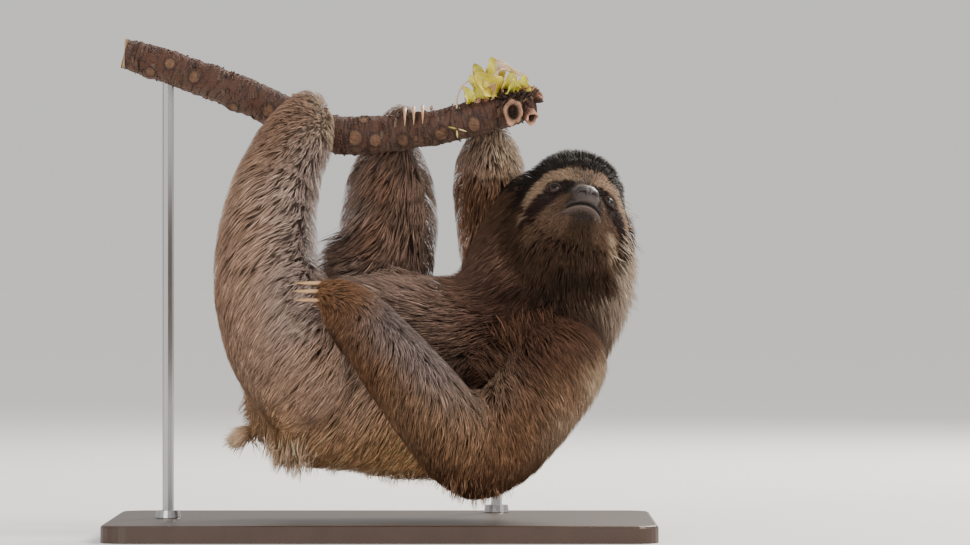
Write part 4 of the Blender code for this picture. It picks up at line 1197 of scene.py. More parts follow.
def grow_head(name, locks, face):
    """The face's hair, or the rest of the head's."""

    def keep(points):
        """On the piece's own part of the head, but not on leather or in an eye."""
        local = to_head(points)
        wanted = on_face(points) if face else 1 - on_face(points)
        return wanted * (1 - (bare(local) > 0.5)) * (1 - eye_opening(local))

    roots = scatter(("head",), locks, keep)
    local = to_head(roots) / MM
    side, up, forward = local.T
    edge = np.hypot(side / FACE_WIDE, up / FACE_TALL)
    if face:
        usual, height, outward = face_length(local, edge), face_height, face_outward
        stray_share, usual_stand = 0.01, 0.05
    else:
        usual, height, outward = crown_length(local, edge), body_height, body_outward
        stray_share, usual_stand = 0.02, 0.07
    length = usual * rng.uniform(0.65, 1.2, locks)
    stray = rng.random(locks) < stray_share
    stand = np.clip(usual_stand * rng.uniform(0.2, 1.8, locks) + 0.3 * stray, 0, 0.9)
    path, outs = walk(roots, length, stand, head_lie, height, outward)
    path = gather(path, locks // FACE_LOCKS_TO_A_GUIDE, FACE_GATHER)
    t = np.linspace(0, 1, STEPS + 1)
    depth = head_coat(to_head(roots))
    if face:
        under = rng.uniform(0.1, 0.9, locks) * np.minimum(depth, 1.6 * MM) * 0.65
    else:
        under = rng.uniform(0, 1.5 * MM, locks)
    rise = sunk(depth + 0.5 * MM, t, 2.2) - under[:, None] * np.sin(np.pi * t) ** 0.5
    ruff = smooth_step(side, 28, 35) * smooth_step(up, 18, 4) * smooth_step(forward, 20, 10)
    lift = (2.2 * smooth_step(up, 10, 26) + 6.5 * ruff) * rng.uniform(0.8, 1.1, locks) * MM
    if not face:  # the crown stands up, and the ruff stands off beside the left cheek
        rise = rise + lift[:, None] * t**0.7
    path = lying(path, outs, rise)
    width = lock_width(usual, 0.15, 0.011, 0.75, 1.3)
    tone = uneven(locks, 0.20) * (1 + 0.14 * noise(roots, 5 * MM, 8))
    # the painted shadow under the chin darkens the tint there
    tint = painted_chin_shadow(roots) * head_colour(roots) * tone[:, None]
    return lock_mesh(name, path, outs, width, tint, spherical(roots))


coat_pieces.append(grow_head("coat_face", 10500, True))
coat_pieces.append(grow_head("coat_crown", 7400, False))
faces_in_all = sum(len(triangles_of(piece.data)) for piece in coat_pieces)
print("coat:", len(coat_pieces), "pieces,", faces_in_all, "triangles")

# %% [markdown]
# The skin shows between the locks and bare on the muzzle, so it carries the same markings,
# painted darker as shade where it lies under the fur. The leather of the bridge, the lips and
# the lids has colours of its own, and the groove of the mouth is painted nearly black as shadow.

# %% The skin's markings
IN_SHADE, FACE_LIGHT = 0.34, 0.50  # the skin's brightness under deep fur, and what the face adds
LID_REACH = (7.2 * MM, 5.6 * MM)  # where the lids' leather begins and is full, from an eye's middle

every_row = tuple(row for rows in LIE.values() for row in rows)
skin_local = to_head(skin_points)
leather = bare(skin_local)
head_share = smooth_step(np.linalg.norm(skin_local, axis=1), 52 * MM, 40 * MM)[:, None]
shaded = IN_SHADE + FACE_LIGHT * on_face(skin_points)[:, None] * head_share
tint = between(body_colour(skin_points, every_row), head_colour(skin_points), head_share)
# the painted shadow under the chin darkens the tint there
tint = painted_chin_shadow(skin_points) * tint * shaded
bridge = smooth_step(skin_local[:, 1], 14 * MM, 2 * MM)[:, None]
naked = between(INK["bridge"], INK["muzzle"], bridge)
spread = unit(skin_local) * head_reach(unit(skin_local))[:, None]  # without the mouth's relief
mouth_gap, _ = nearest(spread, mouth_line())
naked = between(naked, INK["lip"], smooth_step(spread[:, 1], -11.5 * MM, -13.5 * MM)[:, None])
# painted shadow: the mouth's groove darkened nearly to black
mouth_shadow = (np.exp(-((mouth_gap / (1.15 * MM)) ** 4)) * (leather > 0.2))[:, None]
tint = between(tint, naked, leather[:, None]) * (1 - 0.96 * mouth_shadow)
for centre in EYES.values():
    near_lid = smooth_step(np.linalg.norm(skin_local - centre, axis=1), *LID_REACH)[:, None]
    tint = between(tint, INK["rim"] * 0.5, near_lid)
skin.data.materials.clear()
paint(skin, tint)
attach(skin, "root")
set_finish(skin, "coat")
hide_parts(*FLESH)
print("skin painted; leathery points:", int((leather > 0.5).sum()))

# %% [markdown]
# Eyes, claws, the branch and its twigs are rings along a path, closed by a point at each end.
# With side and out square to the path, a ring is the path plus side * cos + out * sin, and
# that order makes every face look outwards.

# %% Rings along a path
def closed_rings(rings, first=0):
    """Points, quads and triangles of rings (rows, sides, 3), closed by the middle of each end."""
    rows, sides = rings.shape[:2]
    points = np.vstack([rings.reshape(-1, 3), rings[:1].mean(axis=1), rings[-1:].mean(axis=1)])
    here = np.arange(sides)
    beside = np.roll(here, -1)
    start, end = rows * sides, rows * sides + 1
    far = (rows - 1) * sides
    caps = np.vstack([together(start, beside, here), together(end, here + far, beside + far)])
    return points, grid_faces(rows, sides) + first, caps + first


def path_frame(path, hint):
    """Along, side and out at each point of a path; side is as near to the hint as it can be."""
    along = unit(np.gradient(path, axis=0))
    hint = np.broadcast_to(np.asarray(hint, float), path.shape)
    side = unit(hint - along * np.sum(along * hint, axis=1, keepdims=True))
    return along, side, np.cross(along, side)


def full_turn(sides):
    """The angles of the corners of a ring."""
    return np.arange(sides) * 2 * np.pi / sides


def rings_along(path, hint, wide, deep, sides):
    """Ellipses carried along a path, wide and deep to either side of it."""
    _, side, out = path_frame(path, hint)
    wide, deep = (np.broadcast_to(size, len(path))[:, None, None] for size in (wide, deep))
    angle = full_turn(sides)[None, :, None]
    ring = side[:, None] * np.cos(angle) * wide + out[:, None] * np.sin(angle) * deep
    return path[:, None] + ring


def joined(name, parts):
    """Several closed sets of rings in one object."""
    points, quads, caps, count = [], [], [], 0
    for rings in parts:
        more, sides, ends = closed_rings(rings, count)
        points.append(more), quads.append(sides), caps.append(ends)
        count += len(more)
    return new_object(name, np.vstack(points), np.vstack(quads), np.vstack(caps))


def smooth_path(stations, steps):
    """A Catmull-Rom curve through the stations, every column at once."""
    rows = np.array(stations, float)
    padded = np.vstack([2 * rows[:1] - rows[1:2], rows, 2 * rows[-1:] - rows[-2:-1]])
    before, start, end, after = padded[:-3], padded[1:-2], padded[2:-1], padded[3:]
    t = np.linspace(0, 1, steps, endpoint=False)[:, None, None]
    curve = 0.5 * (
        2 * start + (end - before) * t
        + (2 * before - 5 * start + 4 * end - after) * t**2
        + (3 * start - before - 3 * end + after) * t**3
    )
    return np.vstack([curve.transpose(1, 0, 2).reshape(-1, rows.shape[1]), rows[-1:]])


# %% [markdown]
# An eye is a ball turned about the line of its gaze. Its colour goes by the angle from that
# line: a black pupil, a dark brown iris with a darker edge, and a brown-black rest.

# %% Eyes
PUPIL, IRIS = np.radians((31, 56))
EYE_SIDES = 40
EYE_POLE = 0.02  # the first and last rings' angle from the line of the gaze

for node, centre in EYES.items():
    _, _, out = eye_frame(centre)
    gaze = unit(out + np.array((0, 0.05, 0.9)))
    side = unit(np.cross((0, 1, 0), gaze))
    up = np.cross(gaze, side)
    polar = np.linspace(EYE_POLE, np.pi - EYE_POLE, EYE_SIDES)[:, None, None]
    turn = full_turn(EYE_SIDES)[:, None]
    ball = np.sin(polar) * (side * np.cos(turn) + up * np.sin(turn)) - gaze * np.cos(polar)
    eye = joined(node + "_ball", [on_head(centre + EYE_RADIUS * ball)])
    local = to_head(points_of(eye)) - centre
    angle = np.arccos(np.clip(unit(local) @ gaze, -1, 1))
    streak = 1 + 0.25 * np.sin(np.arctan2(local @ side, local @ up) * 23)
    iris = smooth_step(angle, PUPIL, PUPIL + 0.05) * smooth_step(angle, IRIS, IRIS - 0.12)
    paint(eye, 0.003 + (iris * streak)[:, None] * colour(58, 35, 23))
    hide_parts(node)
    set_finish(eye, "eye")
    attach(eye, "root")
    print(eye.name, "radius", EYE_RADIUS)

# %% [markdown]
# The nose is a broad leathery pad. It is an egg whose reach dips at two comma-shaped
# nostrils and along the groove between them, and rises in a soft wing over each nostril.

# %% Nose
NOSE_PLACE, NOSE_HALF = np.array((0, -2.2, 38.8)) * MM, np.array((8.4, 6.6, 5.4)) * MM
NOSTRIL_SIDE, NOSTRIL_UP = 3.9 * MM, -2.2 * MM  # from the nose's middle
NOSE_ROWS, NOSE_SIDES = 70, 96

polar = np.pi * np.linspace(0.004, 0.996, NOSE_ROWS)[::-1, None] ** 1.25
turn = full_turn(NOSE_SIDES)
ways = together(np.sin(polar) * np.cos(turn), np.sin(polar) * np.sin(turn), np.cos(polar))
plain = ways * NOSE_HALF
side, up = np.abs(plain[..., 0]), plain[..., 1]
front = smooth_step(ways[..., 2], 0.0, 0.35)
beside, over = side - NOSTRIL_SIDE, up - NOSTRIL_UP
hole = np.hypot(beside / (1.7 * MM), over / (1.45 * MM))
tail = np.hypot((beside - 2.1 * MM) / (1.8 * MM), (over - 0.9 * MM) / (0.6 * MM))
pit = np.maximum(np.exp(-(hole**3.2)), 0.6 * np.exp(-(tail**2)))
wing = bell(side, 4.4 * MM, 2.4 * MM) * bell(up, 0.6 * MM, 1.5 * MM)
groove = bell(side, 0, 0.55 * MM) * smooth_step(up, 1.5 * MM, -2.5 * MM)
relief = (0.55 * wing - 0.75 * groove - 3.0 * pit) * MM * front
relief = relief + 0.10 * MM * noise(plain.reshape(-1, 3), 0.9 * MM, 6).reshape(side.shape)
nose = joined("nose_pad", [on_head(NOSE_PLACE + plain + ways * relief[..., None])])
# painted shade: the nostrils' pits nearly black, and the groove between them darker
shade = (1 - 0.95 * np.clip(pit * front * 1.2, 0, 1)) * (1 - 0.5 * groove * front)
shade = np.append(shade.ravel(), (1, 1))[:, None]
paint(nose, colour(44, 36, 36) * shade)
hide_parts("nose")
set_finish(nose, "nose")
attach(nose, "root")
print("nose", np.round(NOSE_HALF * 2, 4))

# %% [markdown]
# Each claw keeps the arc of its construction node: round the branch for both feet and the
# right hand, and free for the resting left hand. A finer ring, a little deeper than wide,
# tapers along it to a blunt point, with faint growth rings, and horn that darkens to the tip.

# %% Claws
# x, y, z and radius along the branch
BRANCH = np.array((
    (-0.180, 0, 0.337, 0.0105), (-0.149, 0, 0.327, 0.0112), (-0.117, 0, 0.316, 0.0119),
    (-0.084, 0, 0.302, 0.0123), (-0.058, 0, 0.290, 0.0126), (-0.030, 0, 0.280, 0.0129),
    (0.005, 0, 0.281, 0.0126), (0.040, 0, 0.286, 0.0119), (0.068, 0.002, 0.293, 0.0126),
    (0.089, 0.006, 0.299, 0.0126), (0.105, 0.010, 0.303, 0.0105),
))
CLAW_RADIUS, CLAW_SPACING, CLAW_CLEARANCE = 1.7 * MM, 6.2 * MM, 1.4 * MM
# x of the middle claw, then its first and last angle round the branch, from behind it over the top
HOOKED = {
    "foot_left": (-0.056, 92, -55), "foot_right": (0.022, 78, 168), "hand_right": (0.065, 66, 135),
}
FREE_CLAWS = np.array(((-40, -104, 176.5), (-41, -106, 171.0), (-40, -105, 165.0))) * MM
FREE_ARC, FREE_SWEEP = 22 * MM, np.radians(60)


def branch_at(x):
    """The middle and radius of the branch there."""
    y, z, radius = (np.interp(x, BRANCH[:, 0], BRANCH[:, column]) for column in (1, 2, 3))
    return np.array((x, y, z)), radius


CLAW_ROWS, CLAW_SIDES = 44, 18


def make_claw(node, path, hint):
    """A horn along a path that tapers to a blunt point, with faint growth rings."""
    t = np.linspace(0, 1, CLAW_ROWS)
    radius = CLAW_RADIUS * (1 - 0.84 * t**1.7) * (1 + 0.02 * np.sin(70 * t))
    claw = joined(node + "_horn", [rings_along(path, hint, radius * 0.86, radius, CLAW_SIDES)])
    shade = 1.0 - 0.35 * smooth_step(t, 0.55, 1.0) - 0.30 * smooth_step(t, 0.18, 0.0)
    shade = np.append(np.repeat(shade, CLAW_SIDES), (0.7, 0.5))
    tone = shade * (1 + 0.10 * noise(points_of(claw), 1.6 * MM, len(node)))
    paint(claw, colour(190, 150, 110) * tone[:, None])
    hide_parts(node)
    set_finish(claw, "claw")
    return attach(claw, "root")


for limb, (middle, first, last) in HOOKED.items():
    for order in (1, 2, 3):
        centre, thickness = branch_at(middle + (order - 2) * CLAW_SPACING)
        reach = thickness + CLAW_CLEARANCE + CLAW_RADIUS
        angle = np.radians(np.linspace(first, last, CLAW_ROWS))
        arc = centre + reach * together(0, np.cos(angle), np.sin(angle))
        make_claw(f"claw_{limb}_{order}", arc, (1, 0, 0))
for order, root in enumerate(FREE_CLAWS, 1):
    angle = np.linspace(0, FREE_SWEEP, CLAW_ROWS)
    arc = root + FREE_ARC * together(-np.sin(angle), 1 - np.cos(angle), 0)
    make_claw(f"claw_hand_left_{order}", arc, (0, 0, 1))
print("claws: 12")

# %% [markdown]
# The branch keeps the construction's path and thickness. Its bark is a relief worked out on
# a fine grid: lumps, cross-wise ridges where bark has peeled, a collar at each knot, and oval
# scars where leaves once sat, tan inside a dark ring. The left end is a clean saw cut.

# %% Branch and bark
BARK = {
    # top is painted sunlight on the branch's upper face, also a pale tone for the flakes; dark is
    # painted shade in cracks and grooves
    "red": colour(71, 41, 28), "grey": colour(72, 48, 37), "dark": colour(30, 18, 14),
    "top": colour(110, 88, 74), "scar": colour(104, 74, 53), "ring": colour(38, 22, 17),
    "wood": colour(196, 160, 118), "pith": colour(150, 104, 70),
}
# x in millimetres, degrees below the front, radius along and round the branch
SCARS = (
    (-19, 6, 5.2, 5.0), (-5, 18, 4.2, 4.4), (14, 28, 3.8, 4.8), (40, 26, 4.2, 5.4),
    (62, 22, 3.8, 5.6), (-79, 12, 4.0, 4.6), (-131, 4, 3.6, 4.0), (-149, -14, 3.4, 3.8),
    (-100, 60, 3.6, 4.2), (-160, 40, 3.2, 3.6), (-12, -60, 4.0, 4.4), (28, 150, 4.2, 5.0),
    (52, -160, 4.0, 5.0), (-30, 190, 4.2, 4.6), (-70, -170, 4.0, 4.4), (-118, 170, 3.6, 4.2),
    (-145, 200, 3.4, 3.8), (80, 160, 3.8, 5.0),
)
BARK_SIDES, BARK_STEPS = 84, 56
SAW_CUT = (2e-5, 1e-5)  # two rings drawn in just before the first close the sawn end as a flat face

branch_path = smooth_path(BRANCH, BARK_STEPS)
branch_path = np.vstack([branch_path[:1], branch_path[:1], branch_path])
branch_path[:2, 0] -= SAW_CUT
centres, radius = branch_path[:, :3], branch_path[:, 3:]
_, front, below = path_frame(centres, (0, -1, 0))
angle = full_turn(BARK_SIDES)
arc = np.append(0, np.cumsum(np.linalg.norm(np.diff(centres, axis=0), axis=1)))[:, None]
# the bark laid out: along the branch, and on a circle of its own thickness
flat_bark = together(arc, radius * np.cos(angle), radius * np.sin(angle)).reshape(-1, 3)
stretched = flat_bark * (1, 0.22, 0.22)  # slow round the branch and quick along it


def bark_noise(points, size, seed):
    """Noise on the laid-out bark, as rows of one ring each."""
    return noise(points, size * MM, seed).reshape(-1, BARK_SIDES)


peel = bark_noise(stretched, 1.7, 11)
band = bark_noise(stretched + 0.3 * MM * noise(flat_bark, 3 * MM, 12)[:, None], 4.2, 13)
lumps = bark_noise(flat_bark, 9, 14)
grit = bark_noise(flat_bark, 1.1, 15)
ringed = np.abs(np.sin(np.pi * (arc / (7.5 * MM) + 0.55 * lumps + 0.25 * band)))
groove = bell(ringed, 0, 0.16) * smooth_step(lumps + band, -0.9, 0.2)
relief = 0.50 * peel + 0.50 * np.abs(band) + 0.80 * lumps + 0.22 * grit - 0.75 * groove - 0.30
scars, rims = np.zeros_like(relief), np.zeros_like(relief)
for x, degrees, long, tall in SCARS:
    ahead = (centres[:, :1] / MM - x) / long
    turn = np.mod(angle - np.radians(degrees) + np.pi, 2 * np.pi) - np.pi
    edge = np.hypot(ahead, turn * radius / MM / tall) * (1 + 0.06 * grit)
    disc, rim = smooth_step(edge, 1.0, 0.82), bell(edge, 1.12, 0.20)
    relief = relief * (1 - 0.8 * disc) + 0.85 * rim + 0.55 * bell(ahead, 0, 1.5) - 0.25 * disc
    scars, rims = np.maximum(scars, disc), np.maximum(rims, rim)
relief = relief * smooth_step(arc, 0, 0.4 * MM)
reach = radius + relief * MM
reach[0] *= 0.55
forward, downward = front[:, None] * np.cos(angle)[:, None], below[:, None] * np.sin(angle)[:, None]
ways, facing_up = forward + downward, (forward - downward)[..., 2]

# painted sunlight on the bark that faces up
sunny = smooth_step(facing_up, 0.25, 0.95) * (0.55 + 0.45 * grit)
# painted shade where the relief dips, in cracks and grooves
crack_shade = np.maximum(smooth_step(0.42 * peel + 0.2 * grit, -0.02, -0.34), groove)
bark_tint = BARK["red"]
for shade, share in (
    (BARK["grey"], smooth_step(lumps + 0.6 * band, -0.5, 0.6)),
    (BARK["top"], 0.7 * sunny), (BARK["dark"], 0.75 * crack_shade), (BARK["ring"], 0.75 * rims),
    (BARK["scar"] * (0.9 + 0.35 * grit[..., None]), scars),
):
    bark_tint = between(bark_tint, shade, share[..., None])
bark_tint[:2] = BARK["wood"] * np.array((0.8, 1.0))[:, None, None]

branch = joined("branch_bark", [centres[:, None] + ways * reach[..., None]])
paint(branch, np.vstack([bark_tint.reshape(-1, 3), BARK["pith"], BARK["dark"]]))
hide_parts("branch")
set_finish(branch, "bark")
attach(branch, "root")
print("branch:", len(branch.data.polygons), "faces,", len(SCARS), "scars")

# %% [markdown]
# Loose flakes of bark break the branch's outline. Each is a little curved tile that follows
# the bark at one edge and lifts off at the other. All of them are worked out at once, as
# closed slabs of a few faces, at seeded places.

# %% Bark flakes
FLAKES = 420
FLAKE_FROM, FLAKE_TO = -0.176, 0.098  # x along the branch
FLAKE_LONG, FLAKE_ROUND = 2.2 * MM, 0.40  # the size along the branch, and the turn round it
FLAKE_LIFT, FLAKE_WALL = 1.6 * MM, 0.35 * MM
FLAKE_ROWS, FLAKE_COLUMNS = 3, 5

dice = np.random.default_rng(21)
x = dice.uniform(FLAKE_FROM, FLAKE_TO, FLAKES)[:, None]
start = dice.uniform(0, 2 * np.pi, FLAKES)[:, None]
size = dice.uniform(0.5, 1.3, (FLAKES, 2)) * (FLAKE_LONG, FLAKE_ROUND)
along, across = (
    grid.ravel() for grid in np.meshgrid(
        np.linspace(-0.5, 0.5, FLAKE_ROWS), np.linspace(-0.5, 0.5, FLAKE_COLUMNS), indexing="ij"
    )
)
raised = dice.uniform(0.3, 1.0, FLAKES)[:, None] * FLAKE_LIFT * (along + 0.5) ** 2
raised = raised * dice.choice((1, 1, -0.2), FLAKES)[:, None]
jag = np.sin(11 * across + 5 * start) * np.cos(3 * along + start)
place = x + size[:, :1] * (along + 0.28 * jag)
turn = start + size[:, 1:] * (across + 0.15 * np.sin(8 * along + 3 * start))
y, z, bark_radius = (
    np.interp(place, branch_path[:, 0], branch_path[:, column]) for column in (1, 2, 3)
)
layers = []
for thickness in (0.0, FLAKE_WALL):
    reach = bark_radius + 0.1 * MM + raised + thickness
    layers.append(together(place, y - np.cos(turn) * reach, z - np.sin(turn) * reach))
here = np.arange(FLAKE_ROWS * FLAKE_COLUMNS).reshape(FLAKE_ROWS, FLAKE_COLUMNS)
face = grid_faces(FLAKE_ROWS, FLAKE_COLUMNS, wrap=False)
edge = np.concatenate([here[0, :-1], here[:-1, -1], here[-1, :0:-1], here[:0:-1, 0]])
next_edge = np.roll(edge, -1)
rim = together(edge, edge + here.size, next_edge + here.size, next_edge)
slab = np.vstack([face[:, ::-1], face + here.size, rim])
first = (np.arange(FLAKES) * 2 * here.size)[:, None, None]
flake_faces = (slab + first).reshape(-1, 4)
flakes = new_object("bark_flakes", np.concatenate(layers, axis=1).reshape(-1, 3), flake_faces)
share, tone = np.random.default_rng(22).uniform(0, 1, (2, FLAKES, 1))
flake_tint = between(BARK["top"], BARK["red"], share) * (0.45 + 0.65 * tone)
paint(flakes, np.repeat(flake_tint, 2 * here.size, axis=0))
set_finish(flakes, "bark")
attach(flakes, "root")
print("bark flakes:", len(flake_faces), "faces")

# %% [markdown]
# At its tip the branch ends in broken twigs: a hollow stub with a thick pale rim, a smaller
# split one below it, a mass of bud scales, a thin arching stalk, and a few green bud sticks.
# A stub is a tube that runs out to its rim and then back in to the bottom of its hole.

# %% Stubs, buds and stalks
STUB_SIDES, BUD_SIDES, BUD_ROWS = 28, 8, 9
BUD_SCALES = 70
# start, end, half-width, half-height, hole and its depth as shares, raggedness, seed; colour
STUBS = (
    (((90, 4, 298), (91.5, -13.5, 295.5), 6.4, 8.8, 0.62, 0.45, 2.2, 31), (148, 110, 88)),
    (((99, 6, 299), (105, -6, 291), 4.8, 5.2, 0.62, 0.5, 3.4, 32), (182, 136, 114)),
    (((97, 8, 303), (110, 4, 309), 4.6, 4.8, 0.30, 0.3, 1.2, 33), (112, 74, 52)),
)
# place, direction, length, half-width, colour
BUDS = (
    ((66, -3, 300), (0.2, -0.3, 1), 8.0, 3.2, (158, 118, 98)),
    ((72, -4, 302), (0.3, -0.2, 1), 6.5, 2.4, (124, 78, 54)),
    ((52, -12, 284), (-0.9, -0.5, 0.2), 7, 0.7, (150, 140, 70)),
    ((52, -12, 283), (0.1, -0.4, -0.9), 6, 0.6, (190, 180, 110)),
    ((53, -12, 284), (0.9, -0.3, -0.3), 7, 0.6, (200, 186, 140)),
    ((34, -6, 297), (0.2, -0.4, 1), 4, 1.4, (150, 110, 84)),
)
# stations (x, y, z, radius), colour
STALKS = (
    (((52, -6, 296, 0.8), (52.5, -7.5, 306, 0.5), (56, -8, 314, 0.45), (61, -8, 318, 0.6)),
     (206, 172, 142)),
    (((70, -2, 302, 1.2), (70, -3, 309, 1.0), (71, -3, 315, 0.8)), (176, 140, 84)),
    (((84, -3, 305, 1.3), (84, -5, 312, 1.0), (83, -6, 318, 0.8)), (160, 120, 84)),
)


def stub(start, end, wide, tall, hole, depth, ragged, seed):
    """Rings out along a twig, over its rim and back into its hollow, and their brightness."""
    start, end = np.array(start) * MM, np.array(end) * MM
    t = np.array((0.0, 0.35, 0.7, 0.9, 0.98, 1.0, 0.98, 0.9, 1 - depth * 0.6, 1 - depth))
    t, scale, bright = (
        np.array(values)[:, None, None] for values in (
            t, (1.25, 1.10, 1.0, 1.02, 1.0, 0.93, hole + 0.12, hole, hole * 0.85, hole * 0.5),
            # brightness: darker towards the base, palest at the rim, and painted shade deep in the
            # hollow
            (0.30, 0.40, 0.50, 0.62, 0.95, 1.25, 0.85, 0.40, 0.16, 0.05),
        )
    )
    axis = unit(end - start)
    side = unit(np.cross((0, 0, 1), axis))
    angle = full_turn(STUB_SIDES)[:, None]
    ring = (side * np.cos(angle) * wide + np.cross(axis, side) * np.sin(angle) * tall) * MM
    rings = start + (end - start) * t + ring * scale
    rough = noise(rings.reshape(-1, 3), 3.0 * MM, seed).reshape(len(t), -1, 1)
    rings = rings + rough * (ring * 0.20 + axis * ragged * MM * t)
    return rings, np.append((bright * (1 + 0.6 * rough)).ravel(), (0.5, 0.05))


def bud(place, way, length, wide):
    """A little pointed scale or bud that swells and closes to a tip."""
    t = np.linspace(0.02, 1, BUD_ROWS)
    path = np.array(place) + unit(np.array(way, float)) * (t * length)[:, None]
    swell = wide * np.sin(np.pi * t**0.8) ** 0.7 + 0.04 * wide
    return rings_along(path, (0.3, 0.4, 0.86), swell, swell * 0.8, BUD_SIDES)


parts, tints = [], []


def keep_part(rings, tint):
    """Adds rings to the twigs, with a colour for all of them or one for each point."""
    parts.append(rings)
    tints.append(np.broadcast_to(tint, (rings.shape[0] * rings.shape[1] + 2, 3)))


for spec, rgb in STUBS:
    rings, shade = stub(*spec)
    keep_part(rings, colour(*rgb) * shade[:, None])
dice = np.random.default_rng(34)
for _ in range(BUD_SCALES):
    way = unit(dice.normal(0, 1, 3) * (1.0, 0.8, 0.6) + (0.1, -0.35, 0.75))
    place = np.array((93, 1, 304)) * MM + way * np.array((13, 8, 5)) * MM
    leaning = way + dice.normal(0, 0.3, 3)
    scale = bud(place, leaning, dice.uniform(5, 9) * MM, dice.uniform(0.9, 1.9) * MM)
    keep_part(scale, colour(62, 39, 29) * dice.uniform(0.35, 1.25))
for place, way, length, wide, rgb in BUDS:
    keep_part(bud(np.array(place) * MM, way, length * MM, wide * MM), colour(*rgb))
for stations, rgb in STALKS:
    path = smooth_path(np.array(stations) * MM, 8)
    keep_part(rings_along(path[:, :3], (1, 0, 0), path[:, 3], path[:, 3], BUD_SIDES), colour(*rgb))
twigs = joined("twig_ends", parts)
paint(twigs, np.vstack(tints))
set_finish(twigs, "bark")
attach(twigs, "root")
print("twig ends:", len(parts), "shapes")

# %% [markdown]
# A leaf is a surface of two parameters, along the midrib and across it. Its half-width is
# the sine of the place along it, its middle is folded, its edges are wavy, and it may roll
# up as a dry leaf does. A Solidify modifier gives it its thickness.

# %% Leaves
LEAF_WALL = 0.45 * MM
# node, root x, angle round the branch, tip, width, turn, roll, arch, colours of blade and edge
LEAVES = (
    ("leaf_1", 0.0830, 90, (0.0760, 0.004, 0.3345), 0.0125, 15, 0.3, 0.16,
     (200, 190, 50), (236, 222, 108)),
    ("leaf_2", 0.0810, 124, (0.0650, -0.011, 0.3240), 0.0150, -25, 0.5, 0.20,
     (192, 178, 39), (226, 210, 86)),
    ("leaf_3", 0.0800, 66, (0.0640, 0.008, 0.3300), 0.0090, 30, 0.3, 0.16,
     (170, 168, 45), (214, 204, 86)),
    ("leaf_4", 0.0945, 106, (0.1000, -0.008, 0.3215), 0.0120, -20, 0.6, 0.20,
     (206, 200, 50), (236, 226, 108)),
    ("leaf_5", 0.0850, 84, (0.1020, -0.004, 0.3190), 0.0120, 50, 1.5, 0.75,
     (190, 158, 124), (226, 208, 180)),
    ("", 0.0620, 112, (0.0560, -0.010, 0.3130), 0.0070, -10, 0.4, 0.25,
     (208, 202, 55), (238, 228, 115)),
    ("", 0.0700, 108, (0.0710, -0.012, 0.3190), 0.0100, 10, 0.5, 0.20,
     (192, 184, 46), (226, 214, 93)),
    ("", 0.0880, 112, (0.0905, -0.013, 0.3200), 0.0095, -30, 0.6, 0.25,
     (200, 196, 48), (232, 222, 100)),
    ("", 0.0760, 118, (0.0800, -0.013, 0.3160), 0.0085, 35, 0.8, 0.20,
     (168, 130, 84), (206, 176, 132)),
    ("", 0.0660, 100, (0.0620, -0.006, 0.3215), 0.0085, -40, 0.5, 0.25,
     (200, 196, 54), (236, 226, 115)),
    ("", 0.0900, 98, (0.0900, -0.008, 0.3260), 0.0105, 20, 0.9, 0.30,
     (184, 176, 55), (226, 206, 108)),
    ("", 0.0960, 100, (0.1060, -0.007, 0.3130), 0.0085, -35, 0.8, 0.25,
     (160, 118, 80), (200, 168, 130)),
)

LEAF_ROWS, LEAF_COLUMNS = 33, 17
VEINS = 9  # along a blade
t, u = np.meshgrid(np.linspace(0, 1, LEAF_ROWS), np.linspace(-1, 1, LEAF_COLUMNS), indexing="ij")
off_rib = np.abs(u)


def leaf_axes(x, degrees, tip, turn, arch):
    """A leaf's root, its reach to the tip, and the directions across it and off its face."""
    centre, thickness = branch_at(x)
    out = np.array((0.0, np.cos(np.radians(degrees)), np.sin(np.radians(degrees))))
    root = centre + out * (thickness - 0.8 * MM)
    reach = np.array(tip) - root
    flat = unit(np.cross(reach, (0.0, 1.0, 0.0)))
    turn = np.radians(turn)
    across = flat * np.cos(turn) + unit(np.cross(flat, reach)) * np.sin(turn)
    normal = unit(np.cross(across, reach))
    return root, reach, across, normal * (np.sign(normal[2]) if arch > 0.5 else -np.sign(normal[1]))


def leaf_points(number, root, reach, across, normal, width, roll, arch):
    """The blade: lobed, twisted, rolled about its rib, folded, wavy and veined."""
    twist = (0.9 * np.sin(2.4 * number) * (t - 0.3))[..., None]
    across, normal = (
        across * np.cos(twist) + normal * np.sin(twist),
        normal * np.cos(twist) - across * np.sin(twist),
    )
    lobes = 0.16 * np.sin(11 * t + 1.7 * number) + 0.05 * np.abs(np.sin(40 * t + number))
    half = 0.7 * MM + 0.5 * width * (1 + lobes * off_rib) * np.sin(np.pi * t**0.9) ** 0.75
    curl = roll * (0.6 + 0.6 * t)
    sideways = half * np.sin(u * curl) / np.maximum(curl, 1e-3)
    folded = half * ((1 - np.cos(u * curl)) / np.maximum(roll, 0.2) + 0.18 * off_rib)
    wavy = 1.2 * off_rib**2 * np.sin(14 * t + 2.2 * number + np.sign(u))
    wavy = wavy + 0.8 * np.sin(6 * t + number)
    vein = -0.25 * bell(u, 0, 0.10) - 0.10 * np.cos(2 * np.pi * (VEINS * t - 3 * off_rib))
    lifted = arch * np.linalg.norm(reach) * np.sin(np.pi * t) + folded + (wavy + vein) * MM
    points = root + reach * t[..., None] + across * sideways[..., None] + normal * lifted[..., None]
    return points.reshape(-1, 3)


